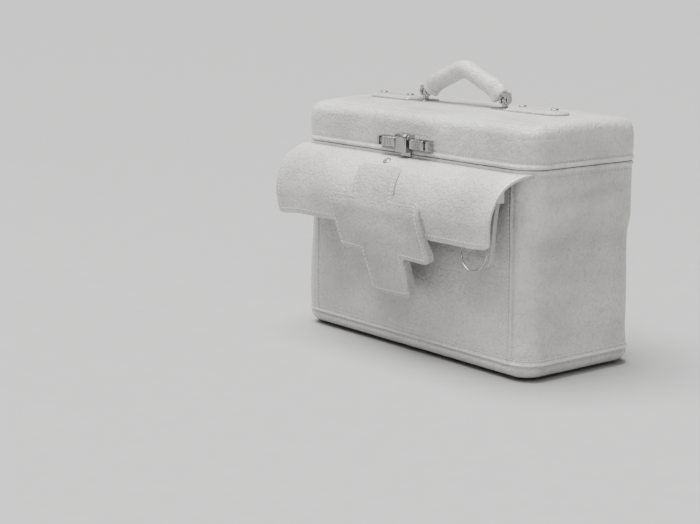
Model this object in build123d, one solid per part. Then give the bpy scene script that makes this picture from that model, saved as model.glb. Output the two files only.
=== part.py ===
from build123d import *
import os

# Doctor bag, millimetres. X runs along the bag, -Y is the front, +Z is up.
# The origin is the middle of the footprint, on the flat face of the centre base stud.

# Overall sizes
WIDTH = 406.0
DEPTH = 176.0
CORNER = 28.0
SEAM_Z = 235.0
TOP_Z = 287.0
CROWN = 5.0
HALF_W = WIDTH / 2
HALF_D = DEPTH / 2
FRONT_Y = -HALF_D

# Materials and gaps
LEATHER = 3.0
LINING = 1.0
GAP = 0.3
PIN_PLAY = 0.05

# Base
STUD_H = 4.0
STUD_R = 7.0
SHANK_R = 2.5
BASE_TOP = 20.0
BASE_ROUND = 12.0
BOARD = 3.0
STUD_X = 160.0
STUD_Y = 56.0

# Rim and lid
WALL_TOP = SEAM_Z - GAP
LID_Z = SEAM_Z + GAP
LID_ROUND = 14.0
FRAME_W = 6.0
FRAME_H = 8.5
LIP_GAP = 0.5
LIP_W = 1.2
LIP_H = 6.0
LID_BOARD_Z = TOP_Z - 11.5
LID_BOARD = 2.5

# Rear hinges
HINGE_X = 120.0
HINGE_LENGTH = 44.0
HINGE_R = 3.2
HINGE_PIN_R = 1.6
HINGE_Y = HALF_D + HINGE_R + GAP
LEAF = 1.2
LEAF_DROP = 27.0
LEAF_NEAR = 3.6
WEB_H = 3.7
KNUCKLE_X = 15.2
KNUCKLE_LENGTH = 13.6
LID_KNUCKLE_LENGTH = 16.0
LEAF_RIVET_X = 13.0
LEAF_RIVET_R = 1.6
LEAF_HEAD_R = 3.4
LEAF_HEAD_H = 1.4
LEAF_RIVET_IN = 8.0

# Handle
HANDLE_X = 70.0
PIVOT_Z = TOP_Z + 11.0
HANDLE_PIN_R = 2.5
PIN_HEAD_R = 3.6
EYE_R = 5.5
EYE_HALF = 5.5
EYE_REACH = 8.0
LUG_R = 4.4
LUG_HALF = 2.0
GRIP_THICK = 9.0
GRIP_WIDE = 11.0
CHAPE_X0 = HANDLE_X + 15.0
CHAPE_X1 = 166.0
CHAPE_W = 32.0
CHAPE_T = 5.0
BRACKET_HALF = 12.0
BRACKET_T = 1.6
BRACKET_DEEP = 13.0
CORE_R = 3.5
APEX_H = 47.0

# Flap, hung from a rolled bead just under the lid
FLAP_HALF = 200.0
FLAP_T = 3.5
BEAD_R = 2.5
FLAP_Y = FRONT_Y - BEAD_R - GAP
FLAP_Z = SEAM_Z - 5.5
FLAP_OUT = 44.0
FLAP_FALL = 55.0
FLAP_TOP = FLAP_Z + FLAP_T / 2
FLAP_TURN_Z = FLAP_TOP - FLAP_FALL
FLAP_END_Z = 150.0
FLAP_END_IN = 4.0
FLAP_CENTRE_Y = FRONT_Y - 1.0
FLAP_STUD_R = 5.0
FLAP_STUD_X = -14.0
STUD_DROP = 4.5

# Plus-shaped tongue on the flap
TONGUE_HALF = 37.0
ARM_HALF = 82.0
ARM_TOP = 190.0
ARM_BOTTOM = 124.0
TONGUE_TOP = FLAP_TOP - 9.0
TONGUE_END_Z = 78.0
TONGUE_T = 8.0

# Clasp on the lid band
CLASP_Z = SEAM_Z + 13.0
CLASP_HALF = 46.0
CLASP_HALF_H = 6.5
PLATE_T = 2.0
RAIL_X0 = 13.0
RAIL_X1 = 43.0
RAIL_NECK = 2.5
RAIL_DEEP = 3.7
RAIL_NECK_HALF = 1.2
RAIL_HEAD_HALF = 2.4
STOP_X0 = 42.0
STOP_DEEP = 6.5
SLIDE_HALF_H = 5.5
SLIDE_PLAY = 0.3
RIBS = 5
RIB_PITCH = 3.0
HASP_LUG_X0 = 9.5
HASP_LUG_X1 = 11.9
HASP_LUG_R = 3.2
HASP_PIN_R = 1.5
HASP_HALF = 9.0
HASP_FRONT = FRONT_Y - 11.5
HASP_BOTTOM = SEAM_Z + 2.5
HASP_PIVOT_Y = FRONT_Y - 6.5
HASP_PIVOT_Z = CLASP_Z + 7.0
HASP_NOSE_R = 4.2
STAPLE_Z = SEAM_Z + 4.3
STAPLE_R = 1.8
SLIDE_X0 = 13.3
SLIDE_X1 = 37.0
SLIDE_FRONT = FRONT_Y - 9.0

# Hanger strap and key ring behind the right end of the flap. The strap, its keeper and
# the ring are drawn plumb and then leaned forward about the strap's pin.
STRAP_X = 160.0
STRAP_HALF = 15.0
STRAP_PIVOT_Y = FRONT_Y - 18.0
STRAP_PIVOT_Z = 204.0
STRAP_T = 7.0
STRAP_END_Z = 130.0
STRAP_LEAN = 8.0
STRAP_EYE_R = 4.2
STRAP_PIN_R = 1.5
LUG_W = 2.0
LUG_DEEP = 5.0
LUG_SIDE_GAP = 0.5
RING_X = 153.0
RING_R = 20.0
RING_WIRE = 1.2
RING_TOP_Z = 162.5
RING_STAND_OFF = 3.9
RING_Y = STRAP_PIVOT_Y - STRAP_T / 2 - RING_STAND_OFF
KEEPER_HALF = 5.0
KEEPER_HALF_H = 3.5
KEEPER_DEEP = 7.2
KEEPER_BORE_R = 2.1

# Pockets
POCKET_HALF = 140.0
POCKET_DEPTH = 16.0
POCKET_Z0 = 152.0
POCKET_Z1 = 212.0
INNER_HALF = 120.0
INNER_DEPTH = 12.0
INNER_Z0 = 60.0
INNER_Z1 = 165.0


def save(shape, node):
    """Write one sub-part."""
    export_step(shape, f"parts/{node}.step")


def span(x0, x1, y0, y1, z0, z1):
    """Box between two corners."""
    return Pos((x0 + x1) / 2, (y0 + y1) / 2, (z0 + z1) / 2) * Box(x1 - x0, y1 - y0, z1 - z0)


def block(inset, z0, z1):
    """Upright block with the bag's plan shape, inset from the outer face."""
    plan = RectangleRounded(WIDTH - 2 * inset, DEPTH - 2 * inset, CORNER - inset)
    return Pos(0, 0, z0) * extrude(plan, z1 - z0)


def ring(outer, inner, z0, z1):
    """Closed band between two insets."""
    return block(outer, z0, z1) - block(inner, z0 - 1, z1 + 1)


def rod_x(radius, x0, x1, y, z):
    """Cylinder along X."""
    return Pos((x0 + x1) / 2, y, z) * Rot(0, 90, 0) * Cylinder(radius, x1 - x0)


def rod_y(radius, y0, y1, x, z):
    """Cylinder along Y."""
    return Pos(x, (y0 + y1) / 2, z) * Rot(90, 0, 0) * Cylinder(radius, y1 - y0)


def rod_z(radius, z0, z1, x, y):
    """Cylinder along Z."""
    return Pos(x, y, (z0 + z1) / 2) * Cylinder(radius, z1 - z0)


def both_sides(shape):
    """A shape and its mirror image across the bag's middle, as separate solids."""
    return [shape, mirror(shape, Plane.YZ)]


def group(shapes):
    """Separate solids kept together in one node."""
    solids = [s for shape in shapes for s in shape.solids()]
    return Compound(children=solids)


# ---------------------------------------------------------------- base

def base_studs():
    """Five metal studs that the bag stands on, with their shanks."""
    places = [(x, y) for x in (-STUD_X, STUD_X) for y in (-STUD_Y, STUD_Y)]
    studs = []
    for x, y in places + [(0, 0)]:
        cap = rod_z(STUD_R, 0, STUD_H, x, y)
        cap = fillet(cap.edges().sort_by(Axis.Z)[0], 1.5)
        studs.append(cap + rod_z(SHANK_R, STUD_H - 1, STUD_H + LEATHER + BOARD, x, y))
    return studs


def hollowed(inset, z0, z1, edge_round):
    """Block with a rounded lower edge."""
    solid = block(inset, z0, z1)
    return fillet(solid.faces().sort_by(Axis.Z)[0].edges(), edge_round)


def base_panel(studs):
    """Leather tray with a rounded lower edge."""
    outer = hollowed(0, STUD_H, BASE_TOP, BASE_ROUND)
    inner = hollowed(LEATHER, STUD_H + LEATHER, BASE_TOP + 20, BASE_ROUND - LEATHER)
    return outer - inner - studs


def base_board(studs):
    """Stiff board lying in the tray."""
    return block(BASE_ROUND, STUD_H + LEATHER, STUD_H + LEATHER + BOARD) - studs


# ---------------------------------------------------------------- walls

def wall_parts(rivets):
    """Front and back panels and the two gussets that turn round the corners."""
    band = ring(0, LEATHER, BASE_TOP, WALL_TOP)
    flat = HALF_W - CORNER
    far = HALF_W + 1
    front = band & span(-flat, flat, -far, 0, 0, SEAM_Z)
    back = (band & span(-flat, flat, 0, far, 0, SEAM_Z)) - rivets
    right = band & span(flat, far, -far, far, 0, SEAM_Z)
    left = band & span(-far, -flat, -far, far, 0, SEAM_Z)
    return front, back, left, right


def rim_frame():
    """Steel frame round the mouth, with the dust lip that enters the lid."""
    lip_out = LEATHER + FRAME_W + LIP_GAP
    lip_in = lip_out + LIP_W
    bar = ring(LEATHER, lip_in, WALL_TOP - FRAME_H, WALL_TOP)
    lip = ring(lip_out, lip_in, WALL_TOP - 1, WALL_TOP + LIP_H)
    return bar + lip


def body_lining():
    """Fabric lining, open at the top."""
    z0 = STUD_H + LEATHER + BOARD + 0.2
    z1 = WALL_TOP - FRAME_H - 0.2
    outer = hollowed(LEATHER + 0.2, z0, z1, BASE_ROUND - LEATHER)
    inner = hollowed(LEATHER + 0.2 + LINING, z0 + LINING, z1 + 20, BASE_ROUND - LEATHER - LINING)
    return outer - inner


def pouch(half, y_open, y_front, z0, z1, wall):
    """Flat pocket sewn to a wall, open at the top."""
    low, high = min(y_open, y_front), max(y_open, y_front)
    outer = span(-half, half, low, high, z0, z1)
    cut_low = low if y_open < y_front else low + wall
    cut_high = high - wall if y_open < y_front else high
    return outer - span(-half + wall, half - wall, cut_low, cut_high, z0 + wall, z1 + 1)


def front_pocket():
    """Shallow leather pocket on the front panel, under the flap."""
    return pouch(POCKET_HALF, FRONT_Y, FRONT_Y - POCKET_DEPTH, POCKET_Z0, POCKET_Z1, 2.5)


def inner_pocket():
    """Fabric pocket on the back wall, inside."""
    wall_y = HALF_D - LEATHER - 0.2 - LINING
    return pouch(INNER_HALF, wall_y, wall_y - INNER_DEPTH, INNER_Z0, INNER_Z1, 1.5)


# ---------------------------------------------------------------- lid

def crowned(inset, z0, edge_round):
    """Block whose top is gently curved from front to back and rounded at its edges."""
    radius = (CROWN**2 + HALF_D**2) / (2 * CROWN)
    dome = rod_x(radius - inset, -WIDTH, WIDTH, 0, TOP_Z - radius)
    solid = block(inset, z0, TOP_Z + 10) & dome
    top = solid.faces().sort_by(Axis.Z)[-1]
    return fillet(top.edges(), edge_round)


def lid_shell(holes):
    """Leather lid with a deep band."""
    shell = crowned(0, LID_Z, LID_ROUND) - crowned(LEATHER, LID_Z - 20, LID_ROUND - LEATHER)
    return shell - holes


def lid_frame():
    """Steel frame inside the lid's lower edge."""
    return ring(LEATHER, LEATHER + FRAME_W, LID_Z, LID_Z + FRAME_H)


def lid_board():
    """Stiff board under the lid's top."""
    return block(LEATHER + BASE_ROUND, LID_BOARD_Z, LID_BOARD_Z + LID_BOARD)


def lid_padding():
    """Foam between the board and the leather, which gives the top its crown."""
    inner = crowned(LEATHER, LID_Z, LID_ROUND - LEATHER)
    return inner & block(LEATHER + BASE_ROUND, LID_BOARD_Z + LID_BOARD, TOP_Z)


def lid_lining():
    """Fabric lining of the lid."""
    z0 = LID_Z + FRAME_H + 0.2
    outer = block(LEATHER + 0.2, z0, LID_BOARD_Z)
    outer = fillet(outer.faces().sort_by(Axis.Z)[-1].edges(), 11)
    inner = block(LEATHER + 0.2 + LINING, z0 - 20, LID_BOARD_Z - LINING)
    inner = fillet(inner.faces().sort_by(Axis.Z)[-1].edges(), 10)
    return outer - inner


# ---------------------------------------------------------------- rear hinges

def knuckle(x, length, bore, side):
    """Hinge barrel with the web that joins it to its leaf; side is 1 for up."""
    x0, x1 = x - length / 2, x + length / 2
    barrel = rod_x(HINGE_R, x0, x1, HINGE_Y, SEAM_Z)
    web_z = sorted((SEAM_Z, SEAM_Z + side * WEB_H))
    web = span(x0, x1, HALF_D, HINGE_Y, *web_z)
    return barrel + web - rod_x(bore, x0 - 1, x1 + 1, HINGE_Y, SEAM_Z)


def leaf(x, side):
    """Flat hinge leaf on the outside of the rear wall."""
    near = SEAM_Z + side * LEAF_NEAR
    far = SEAM_Z + side * LEAF_DROP
    z0, z1 = sorted((near, far))
    return span(x - HINGE_LENGTH / 2, x + HINGE_LENGTH / 2, HALF_D, HALF_D + LEAF, z0, z1)


def hinge_rivets(side):
    """Two rivets through each hinge leaf and the leather."""
    rivets = []
    z = SEAM_Z + side * (LEAF_DROP - LEAF_RIVET_IN)
    face = HALF_D + LEAF
    for x in (-HINGE_X, HINGE_X):
        for dx in (-LEAF_RIVET_X, LEAF_RIVET_X):
            shank = rod_y(LEAF_RIVET_R, HALF_D - LEATHER, face, x + dx, z)
            head = rod_y(LEAF_HEAD_R, face, face + LEAF_HEAD_H, x + dx, z)
            head = fillet(head.edges().sort_by(Axis.Y)[-1], 0.9)
            rivets.append(shank + head)
    return rivets


def body_hinge_leaves(rivets):
    """Lower leaves with two knuckles each."""
    parts = []
    for x in (-HINGE_X, HINGE_X):
        shape = leaf(x, -1)
        for dx in (-KNUCKLE_X, KNUCKLE_X):
            shape += knuckle(x + dx, KNUCKLE_LENGTH, HINGE_PIN_R, -1)
        parts.append(shape - rivets)
    return parts


def lid_hinge_leaves(rivets):
    """Upper leaves with one middle knuckle each."""
    parts = []
    for x in (-HINGE_X, HINGE_X):
        shape = leaf(x, 1) + knuckle(x, LID_KNUCKLE_LENGTH, HINGE_PIN_R + PIN_PLAY, 1)
        parts.append(shape - rivets)
    return parts


def hinge_pins():
    """Hinge pins, held in the lower leaves."""
    half = HINGE_LENGTH / 2
    return [rod_x(HINGE_PIN_R, x - half, x + half, HINGE_Y, SEAM_Z) for x in (-HINGE_X, HINGE_X)]


# ---------------------------------------------------------------- handle

def handle_path():
    """Pointed arch in the XZ plane, from eye to eye."""
    lean = EYE_REACH * 0.5**0.5
    start = (HANDLE_X - lean, PIVOT_Z + lean)
    shoulder = (HANDLE_X - 1.5 * EYE_REACH, PIVOT_Z + 1.5 * EYE_REACH)
    points = [
        (-start[0], 0, start[1]),
        (-shoulder[0], 0, shoulder[1]),
        (0, 0, TOP_Z + APEX_H),
        (shoulder[0], 0, shoulder[1]),
        (start[0], 0, start[1]),
    ]
    return FilletPolyline(*points, radius=[18, 26, 18])


def handle_eye(path):
    """Metal fork on the left end of the grip, open in the middle for its lug."""
    neck_plane = Plane(origin=(-HANDLE_X, 0, PIVOT_Z), z_dir=path % 0)
    eye = neck_plane * Pos(0, 0, EYE_REACH / 2) * Cylinder(EYE_R, EYE_REACH)
    eye += rod_x(EYE_R, -HANDLE_X - EYE_HALF, -HANDLE_X + EYE_HALF, 0, PIVOT_Z)
    eye += span(
        -HANDLE_X - EYE_HALF,
        -HANDLE_X + EYE_HALF,
        -EYE_R + 1,
        EYE_R - 1,
        PIVOT_Z,
        PIVOT_Z + EYE_REACH,
    )
    slot = LUG_HALF + GAP
    eye -= rod_x(EYE_R + 0.2, -HANDLE_X - slot, -HANDLE_X + slot, 0, PIVOT_Z)
    inner_side = -HANDLE_X + EYE_HALF
    eye -= rod_x(PIN_HEAD_R + 0.5, inner_side, inner_side + 4, 0, PIVOT_Z)
    return eye - rod_x(HANDLE_PIN_R + PIN_PLAY, -HANDLE_X - 20, -HANDLE_X + 20, 0, PIVOT_Z)


def handle_parts():
    """Leather grip, the cord inside it and the metal end eyes."""
    path = handle_path()
    plane = Plane(origin=path @ 0, x_dir=(0, 1, 0), z_dir=path % 0)
    grip = sweep(plane * Ellipse(GRIP_WIDE, GRIP_THICK), path=path)
    core = sweep(plane * Circle(CORE_R), path=path)
    eye = handle_eye(path) - grip
    return grip - core, core, both_sides(eye)


def handle_bracket(side):
    """Plate with a lug that carries one end of the handle."""
    x = side * HANDLE_X
    x0, x1 = x - BRACKET_HALF, x + BRACKET_HALF
    plate = span(x0, x1, -BRACKET_DEEP, BRACKET_DEEP, TOP_Z, TOP_Z + BRACKET_T)
    plate = fillet(plate.edges().filter_by(Axis.Z), 3)
    lug = rod_x(LUG_R, x - LUG_HALF, x + LUG_HALF, 0, PIVOT_Z)
    lug += span(x - LUG_HALF, x + LUG_HALF, 1 - LUG_R, LUG_R - 1, TOP_Z + 0.5, PIVOT_Z)
    return plate + lug - rod_x(HANDLE_PIN_R, x - 20, x + 20, 0, PIVOT_Z)


def handle_pins():
    """Headed pins through the lugs and the handle's eyes."""
    reach = EYE_HALF + GAP
    pins = []
    for x in (-HANDLE_X, HANDLE_X):
        pin = rod_x(HANDLE_PIN_R, x - reach, x + reach, 0, PIVOT_Z)
        pin += rod_x(PIN_HEAD_R, x - reach - 1.3, x - reach, 0, PIVOT_Z)
        pin += rod_x(PIN_HEAD_R, x + reach, x + reach + 1.3, 0, PIVOT_Z)
        pins.append(pin)
    return pins


def chape_rivets():
    """Two rivets through each chape and the lid."""
    rivets = []
    for x in (CHAPE_X0 + 14, CHAPE_X1 - 16):
        shank = rod_z(1.8, TOP_Z - LEATHER, TOP_Z + CHAPE_T, x, 0)
        head = rod_z(4.5, TOP_Z + CHAPE_T, TOP_Z + CHAPE_T + 1.6, x, 0)
        head = fillet(head.edges().sort_by(Axis.Z)[-1], 1.0)
        rivets += both_sides(shank + head)
    return rivets


def chape(rivets):
    """Leather tab on the lid beside the right end of the handle."""
    half = CHAPE_W / 2
    tab = span(CHAPE_X0, CHAPE_X1 - half, -half, half, TOP_Z, TOP_Z + CHAPE_T)
    tab += rod_z(half, TOP_Z, TOP_Z + CHAPE_T, CHAPE_X1 - half, 0)
    tab = fillet(tab.faces().sort_by(Axis.Z)[-1].edges(), 2)
    return tab - rivets


# ---------------------------------------------------------------- flap

def oval(out, fall, x0, x1):
    """Elliptical bar along X, centred on the flap's curve."""
    face = Plane.YZ.offset(x0) * Pos(FLAP_CENTRE_Y, FLAP_TURN_Z) * Ellipse(out, fall)
    return extrude(face, x1 - x0)


def prism(points, half):
    """Outline in the YZ plane, extruded both ways along X."""
    face = Plane.YZ.offset(-half) * make_face(Polyline(*points, close=True))
    return extrude(face, 2 * half)


def flap():
    """Leather flap that curves out and down from its bead."""
    curve = oval(FLAP_OUT, FLAP_FALL, -FLAP_HALF, FLAP_HALF)
    curve -= oval(FLAP_OUT - FLAP_T, FLAP_FALL - FLAP_T, -FLAP_HALF - 1, FLAP_HALF + 1)
    far = FLAP_HALF + 1
    curve &= span(-far, far, FRONT_Y - 60, FLAP_Y, FLAP_TURN_Z, SEAM_Z)
    outer = FLAP_CENTRE_Y - FLAP_OUT
    skirt = prism(
        [
            (outer, FLAP_TURN_Z),
            (outer + FLAP_T, FLAP_TURN_Z),
            (outer + FLAP_T + FLAP_END_IN, FLAP_END_Z),
            (outer + FLAP_END_IN, FLAP_END_Z),
        ],
        FLAP_HALF,
    )
    bead = rod_x(BEAD_R, -FLAP_HALF, FLAP_HALF, FLAP_Y, FLAP_Z)
    return curve + skirt + bead


def flap_stud():
    """Domed stud on the flap above the tongue, with its shank through the leather."""
    rise = FLAP_TOP - STUD_DROP - FLAP_TURN_Z
    out = FLAP_OUT * (1 - (rise / FLAP_FALL) ** 2) ** 0.5
    normal = Vector(0, -out / FLAP_OUT**2, rise / FLAP_FALL**2).normalized()
    seat = Vector(FLAP_STUD_X, FLAP_CENTRE_Y - out, FLAP_TURN_Z + rise)
    shank = Plane(origin=seat - normal * FLAP_T, z_dir=normal) * Pos(0, 0, 3) * Cylinder(1.5, 6)
    head = Pos(0, 0, 1) * Cylinder(FLAP_STUD_R, 2)
    head = fillet(head.edges().sort_by(Axis.Z)[-1], 1.4)
    return (Plane(origin=seat, z_dir=normal) * head) + shank


def flap_welt():
    """Leather strip under the bead, sewn to the front panel."""
    top = FLAP_Z - BEAD_R - GAP
    return span(-FLAP_HALF + 22, FLAP_HALF - 22, FRONT_Y - 3.2, FRONT_Y, top - 5, top)


def flap_tongue():
    """Plus-shaped padded tongue that lies on the flap and hangs below it."""
    outer = FLAP_CENTRE_Y - FLAP_OUT
    curve = oval(FLAP_OUT + TONGUE_T, FLAP_FALL + TONGUE_T, -ARM_HALF, ARM_HALF)
    curve -= oval(FLAP_OUT, FLAP_FALL, -ARM_HALF - 1, ARM_HALF + 1)
    curve &= span(-ARM_HALF, ARM_HALF, FRONT_Y - 70, FRONT_Y - 5, FLAP_TURN_Z, TONGUE_TOP)
    hang = prism(
        [
            (outer - TONGUE_T, FLAP_TURN_Z),
            (outer, FLAP_TURN_Z),
            (outer + FLAP_END_IN, FLAP_END_Z),
            (FRONT_Y - 18, TONGUE_END_Z),
            (FRONT_Y - 31, TONGUE_END_Z),
            (FRONT_Y - 45, ARM_BOTTOM),
        ],
        ARM_HALF,
    )
    slab = curve + hang
    bar = slab & span(-TONGUE_HALF, TONGUE_HALF, -200, 0, TONGUE_END_Z, TONGUE_TOP)
    arm = slab & span(-ARM_HALF, ARM_HALF, -200, 0, ARM_BOTTOM, ARM_TOP)
    return bar + arm


# ---------------------------------------------------------------- clasp

def clasp_plate():
    """Back plate with the slide rails, end stops and the hasp's lugs."""
    back = FRONT_Y - PLATE_T
    low, high = CLASP_Z - CLASP_HALF_H, CLASP_Z + CLASP_HALF_H
    plate = span(-CLASP_HALF, CLASP_HALF, back, FRONT_Y, low, high)
    plate += span(-12.5, 12.5, back, FRONT_Y, CLASP_Z, HASP_PIVOT_Z + 4.5)
    for side in (-1, 1):
        x0, x1 = sorted((side * RAIL_X0, side * RAIL_X1))
        neck, deep = back - RAIL_NECK, back - RAIL_DEEP
        plate += span(x0, x1, neck, back, CLASP_Z - RAIL_NECK_HALF, CLASP_Z + RAIL_NECK_HALF)
        plate += span(x0, x1, deep, neck, CLASP_Z - RAIL_HEAD_HALF, CLASP_Z + RAIL_HEAD_HALF)
        x0, x1 = sorted((side * STOP_X0, side * CLASP_HALF))
        plate += span(x0, x1, back - STOP_DEEP, back, CLASP_Z - SLIDE_HALF_H, CLASP_Z + SLIDE_HALF_H)
        x0, x1 = sorted((side * HASP_LUG_X0, side * HASP_LUG_X1))
        low, high = HASP_PIVOT_Z - HASP_LUG_R, HASP_PIVOT_Z + HASP_LUG_R
        plate += span(x0, x1, HASP_PIVOT_Y, back, low, high)
        plate += rod_x(HASP_LUG_R, x0, x1, HASP_PIVOT_Y, HASP_PIVOT_Z)
    return plate - rod_x(HASP_PIN_R, -20, 20, HASP_PIVOT_Y, HASP_PIVOT_Z)


def clasp_rivets():
    """Rivets through the clasp plate and the lid band."""
    rivets = []
    for x in (9, 39.5):
        shank = rod_y(1.2, FRONT_Y - PLATE_T, FRONT_Y + LEATHER, x, CLASP_Z - 4.6)
        rivets += both_sides(shank)
    return rivets


def hasp():
    """Locking block that hangs over the staple, open underneath."""
    back = FRONT_Y - PLATE_T - 0.6
    cover = span(-HASP_HALF, HASP_HALF, HASP_FRONT, back, HASP_BOTTOM, HASP_PIVOT_Z)
    cover = fillet(cover.edges().filter_by(Axis.Z).group_by(Axis.Y)[0], 2)
    cover += rod_x(HASP_NOSE_R, -HASP_HALF, HASP_HALF, HASP_PIVOT_Y, HASP_PIVOT_Z)
    slot_top = STAPLE_Z + STAPLE_R + 1.2
    half = STAPLE_R + 0.6
    cover -= span(-half, half, FRONT_Y - 9.6, FRONT_Y, HASP_BOTTOM - 1, slot_top)
    return cover - rod_x(HASP_PIN_R + PIN_PLAY, -20, 20, HASP_PIVOT_Y, HASP_PIVOT_Z)


def hasp_pin():
    """Pin that the hasp turns on."""
    return rod_x(HASP_PIN_R, -HASP_LUG_X1, HASP_LUG_X1, HASP_PIVOT_Y, HASP_PIVOT_Z)


def catch_plate():
    """Plate and staple on the body that the hasp closes over."""
    front = FRONT_Y - 2.2
    plate = span(-8, 8, front, FRONT_Y, FLAP_Z + BEAD_R + 0.4, WALL_TOP)
    plate += span(-8, 8, front, FRONT_Y - 0.6, WALL_TOP - 1, CLASP_Z - 6.8)
    plate += rod_y(STAPLE_R, FRONT_Y - 9, front, 0, STAPLE_Z)
    return plate


def slide(side):
    """Sprung thumb slide with a T-shaped channel over its rail."""
    x0, x1 = SLIDE_X0, SLIDE_X1
    back = FRONT_Y - PLATE_T
    bar = span(x0, x1, SLIDE_FRONT, back - GAP, CLASP_Z - SLIDE_HALF_H, CLASP_Z + SLIDE_HALF_H)
    bar = fillet(bar.faces().sort_by(Axis.Y)[0].edges(), 1.5)
    neck = RAIL_NECK_HALF + SLIDE_PLAY
    head = RAIL_HEAD_HALF + SLIDE_PLAY
    head_back = back - RAIL_NECK + SLIDE_PLAY
    head_front = back - RAIL_DEEP - SLIDE_PLAY
    bar -= span(x0 - 1, x1 + 1, head_back - 1, back, CLASP_Z - neck, CLASP_Z + neck)
    bar -= span(x0 - 1, x1 + 1, head_front, head_back, CLASP_Z - head, CLASP_Z + head)
    for step in range(RIBS):
        x = x0 + 2 * RIB_PITCH + RIB_PITCH * step
        bar -= span(x - 0.5, x + 0.5, SLIDE_FRONT - 1, SLIDE_FRONT + 0.7, CLASP_Z - 7, CLASP_Z + 7)
    return bar if side > 0 else mirror(bar, Plane.YZ)


# ---------------------------------------------------------------- hanger

def leaned(shape):
    """A shape of the hanger, tipped forward about the strap's pin."""
    pivot = Pos(0, STRAP_PIVOT_Y, STRAP_PIVOT_Z)
    return pivot * Rot(-STRAP_LEAN, 0, 0) * pivot.inverse() * shape


def strap_fitting():
    """Two lugs and the pin that hang the strap inside the flap."""
    inside = oval(FLAP_OUT - FLAP_T, FLAP_FALL - FLAP_T, -FLAP_HALF, FLAP_HALF)
    y0, y1 = STRAP_PIVOT_Y - LUG_DEEP, STRAP_PIVOT_Y + LUG_DEEP
    near = STRAP_HALF + LUG_SIDE_GAP
    far = near + LUG_W
    shapes = []
    for x0 in (STRAP_X - far, STRAP_X + near):
        lug = span(x0, x0 + LUG_W, y0, y1, STRAP_PIVOT_Z - 4, SEAM_Z)
        shapes.append(lug & inside)
    pin = rod_x(STRAP_PIN_R, STRAP_X - far, STRAP_X + far, STRAP_PIVOT_Y, STRAP_PIVOT_Z)
    return shapes[0] + shapes[1] + pin


def hanger_strap():
    """Doubled leather strap that hangs from the fitting."""
    x0, x1 = STRAP_X - STRAP_HALF, STRAP_X + STRAP_HALF
    y0, y1 = STRAP_PIVOT_Y - STRAP_T / 2, STRAP_PIVOT_Y + STRAP_T / 2
    strap = span(x0, x1, y0, y1, STRAP_END_Z, STRAP_PIVOT_Z)
    lower = strap.edges().filter_by(Axis.Y).group_by(Axis.Z)[0]
    strap = fillet(lower, 8)
    strap += rod_x(STRAP_EYE_R, x0, x1, STRAP_PIVOT_Y, STRAP_PIVOT_Z)
    bore = STRAP_PIN_R + PIN_PLAY
    return leaned(strap - rod_x(bore, x0 - 1, x1 + 1, STRAP_PIVOT_Y, STRAP_PIVOT_Z))


def ring_keeper():
    """Small metal staple on the strap, with the ring's wire through it."""
    face = STRAP_PIVOT_Y - STRAP_T / 2
    x0, x1 = RING_X - KEEPER_HALF, RING_X + KEEPER_HALF
    z0, z1 = RING_TOP_Z - KEEPER_HALF_H, RING_TOP_Z + KEEPER_HALF_H
    staple = span(x0, x1, face - KEEPER_DEEP, face, z0, z1)
    return leaned(staple - rod_x(KEEPER_BORE_R, x0 - 1, x1 + 1, RING_Y, RING_TOP_Z))


def key_ring():
    """Split ring, hanging from its keeper."""
    centre_z = RING_TOP_Z - RING_R + RING_WIRE / 2
    return leaned(Pos(RING_X, RING_Y, centre_z) * Rot(90, 0, 0) * Torus(RING_R, RING_WIRE))


def main():
    """Build every sub-part and write it."""
    os.makedirs("parts", exist_ok=True)

    studs = base_studs()
    save(group(studs), "base_studs")
    save(base_panel(studs), "base_panel")
    save(base_board(studs), "base_board")

    body_rivets = hinge_rivets(-1)
    lid_rivets = hinge_rivets(1)
    front, back, left, right = wall_parts(body_rivets)
    save(front, "front_panel")
    save(back, "back_panel")
    save(left, "left_gusset")
    save(right, "right_gusset")
    save(rim_frame(), "rim_frame")
    save(body_lining(), "body_lining")
    save(front_pocket(), "front_pocket")
    save(inner_pocket(), "inner_pocket")
    save(flap_welt(), "flap_welt")
    save(catch_plate(), "catch_plate")

    tabs = chape_rivets()
    clasp = clasp_rivets()
    save(lid_shell(lid_rivets + tabs + clasp), "lid_shell")
    save(lid_frame(), "lid_frame")
    save(lid_board(), "lid_board")
    save(lid_padding(), "lid_padding")
    save(lid_lining(), "lid_lining")

    save(group(body_hinge_leaves(body_rivets)), "body_hinge_leaves")
    save(group(lid_hinge_leaves(lid_rivets)), "lid_hinge_leaves")
    save(group(hinge_pins()), "hinge_pins")
    save(group(body_rivets), "body_hinge_rivets")
    save(group(lid_rivets), "lid_hinge_rivets")

    grip, core, eyes = handle_parts()
    save(grip, "handle_grip")
    save(core, "handle_core")
    save(group(eyes), "handle_eyes")
    save(handle_bracket(-1), "left_handle_bracket")
    save(handle_bracket(1), "right_handle_bracket")
    save(group(handle_pins()), "handle_pins")
    right_chape = chape(tabs)
    save(mirror(right_chape, Plane.YZ), "left_chape")
    save(right_chape, "right_chape")
    save(group(tabs), "chape_rivets")

    stud = flap_stud()
    save(flap() - stud, "flap")
    save(stud, "flap_stud")
    save(flap_tongue(), "flap_tongue")

    save(clasp_plate() - clasp, "clasp_plate")
    save(group(clasp), "clasp_rivets")
    save(hasp(), "hasp")
    save(hasp_pin(), "hasp_pin")
    save(slide(-1), "left_slide")
    save(slide(1), "right_slide")

    save(strap_fitting(), "strap_fitting")
    save(hanger_strap(), "hanger_strap")
    save(ring_keeper(), "ring_keeper")
    save(key_ring(), "key_ring")


main()
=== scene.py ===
"""Doctor bag: its looks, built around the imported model. Metres, the model's own frame."""

import math

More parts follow.
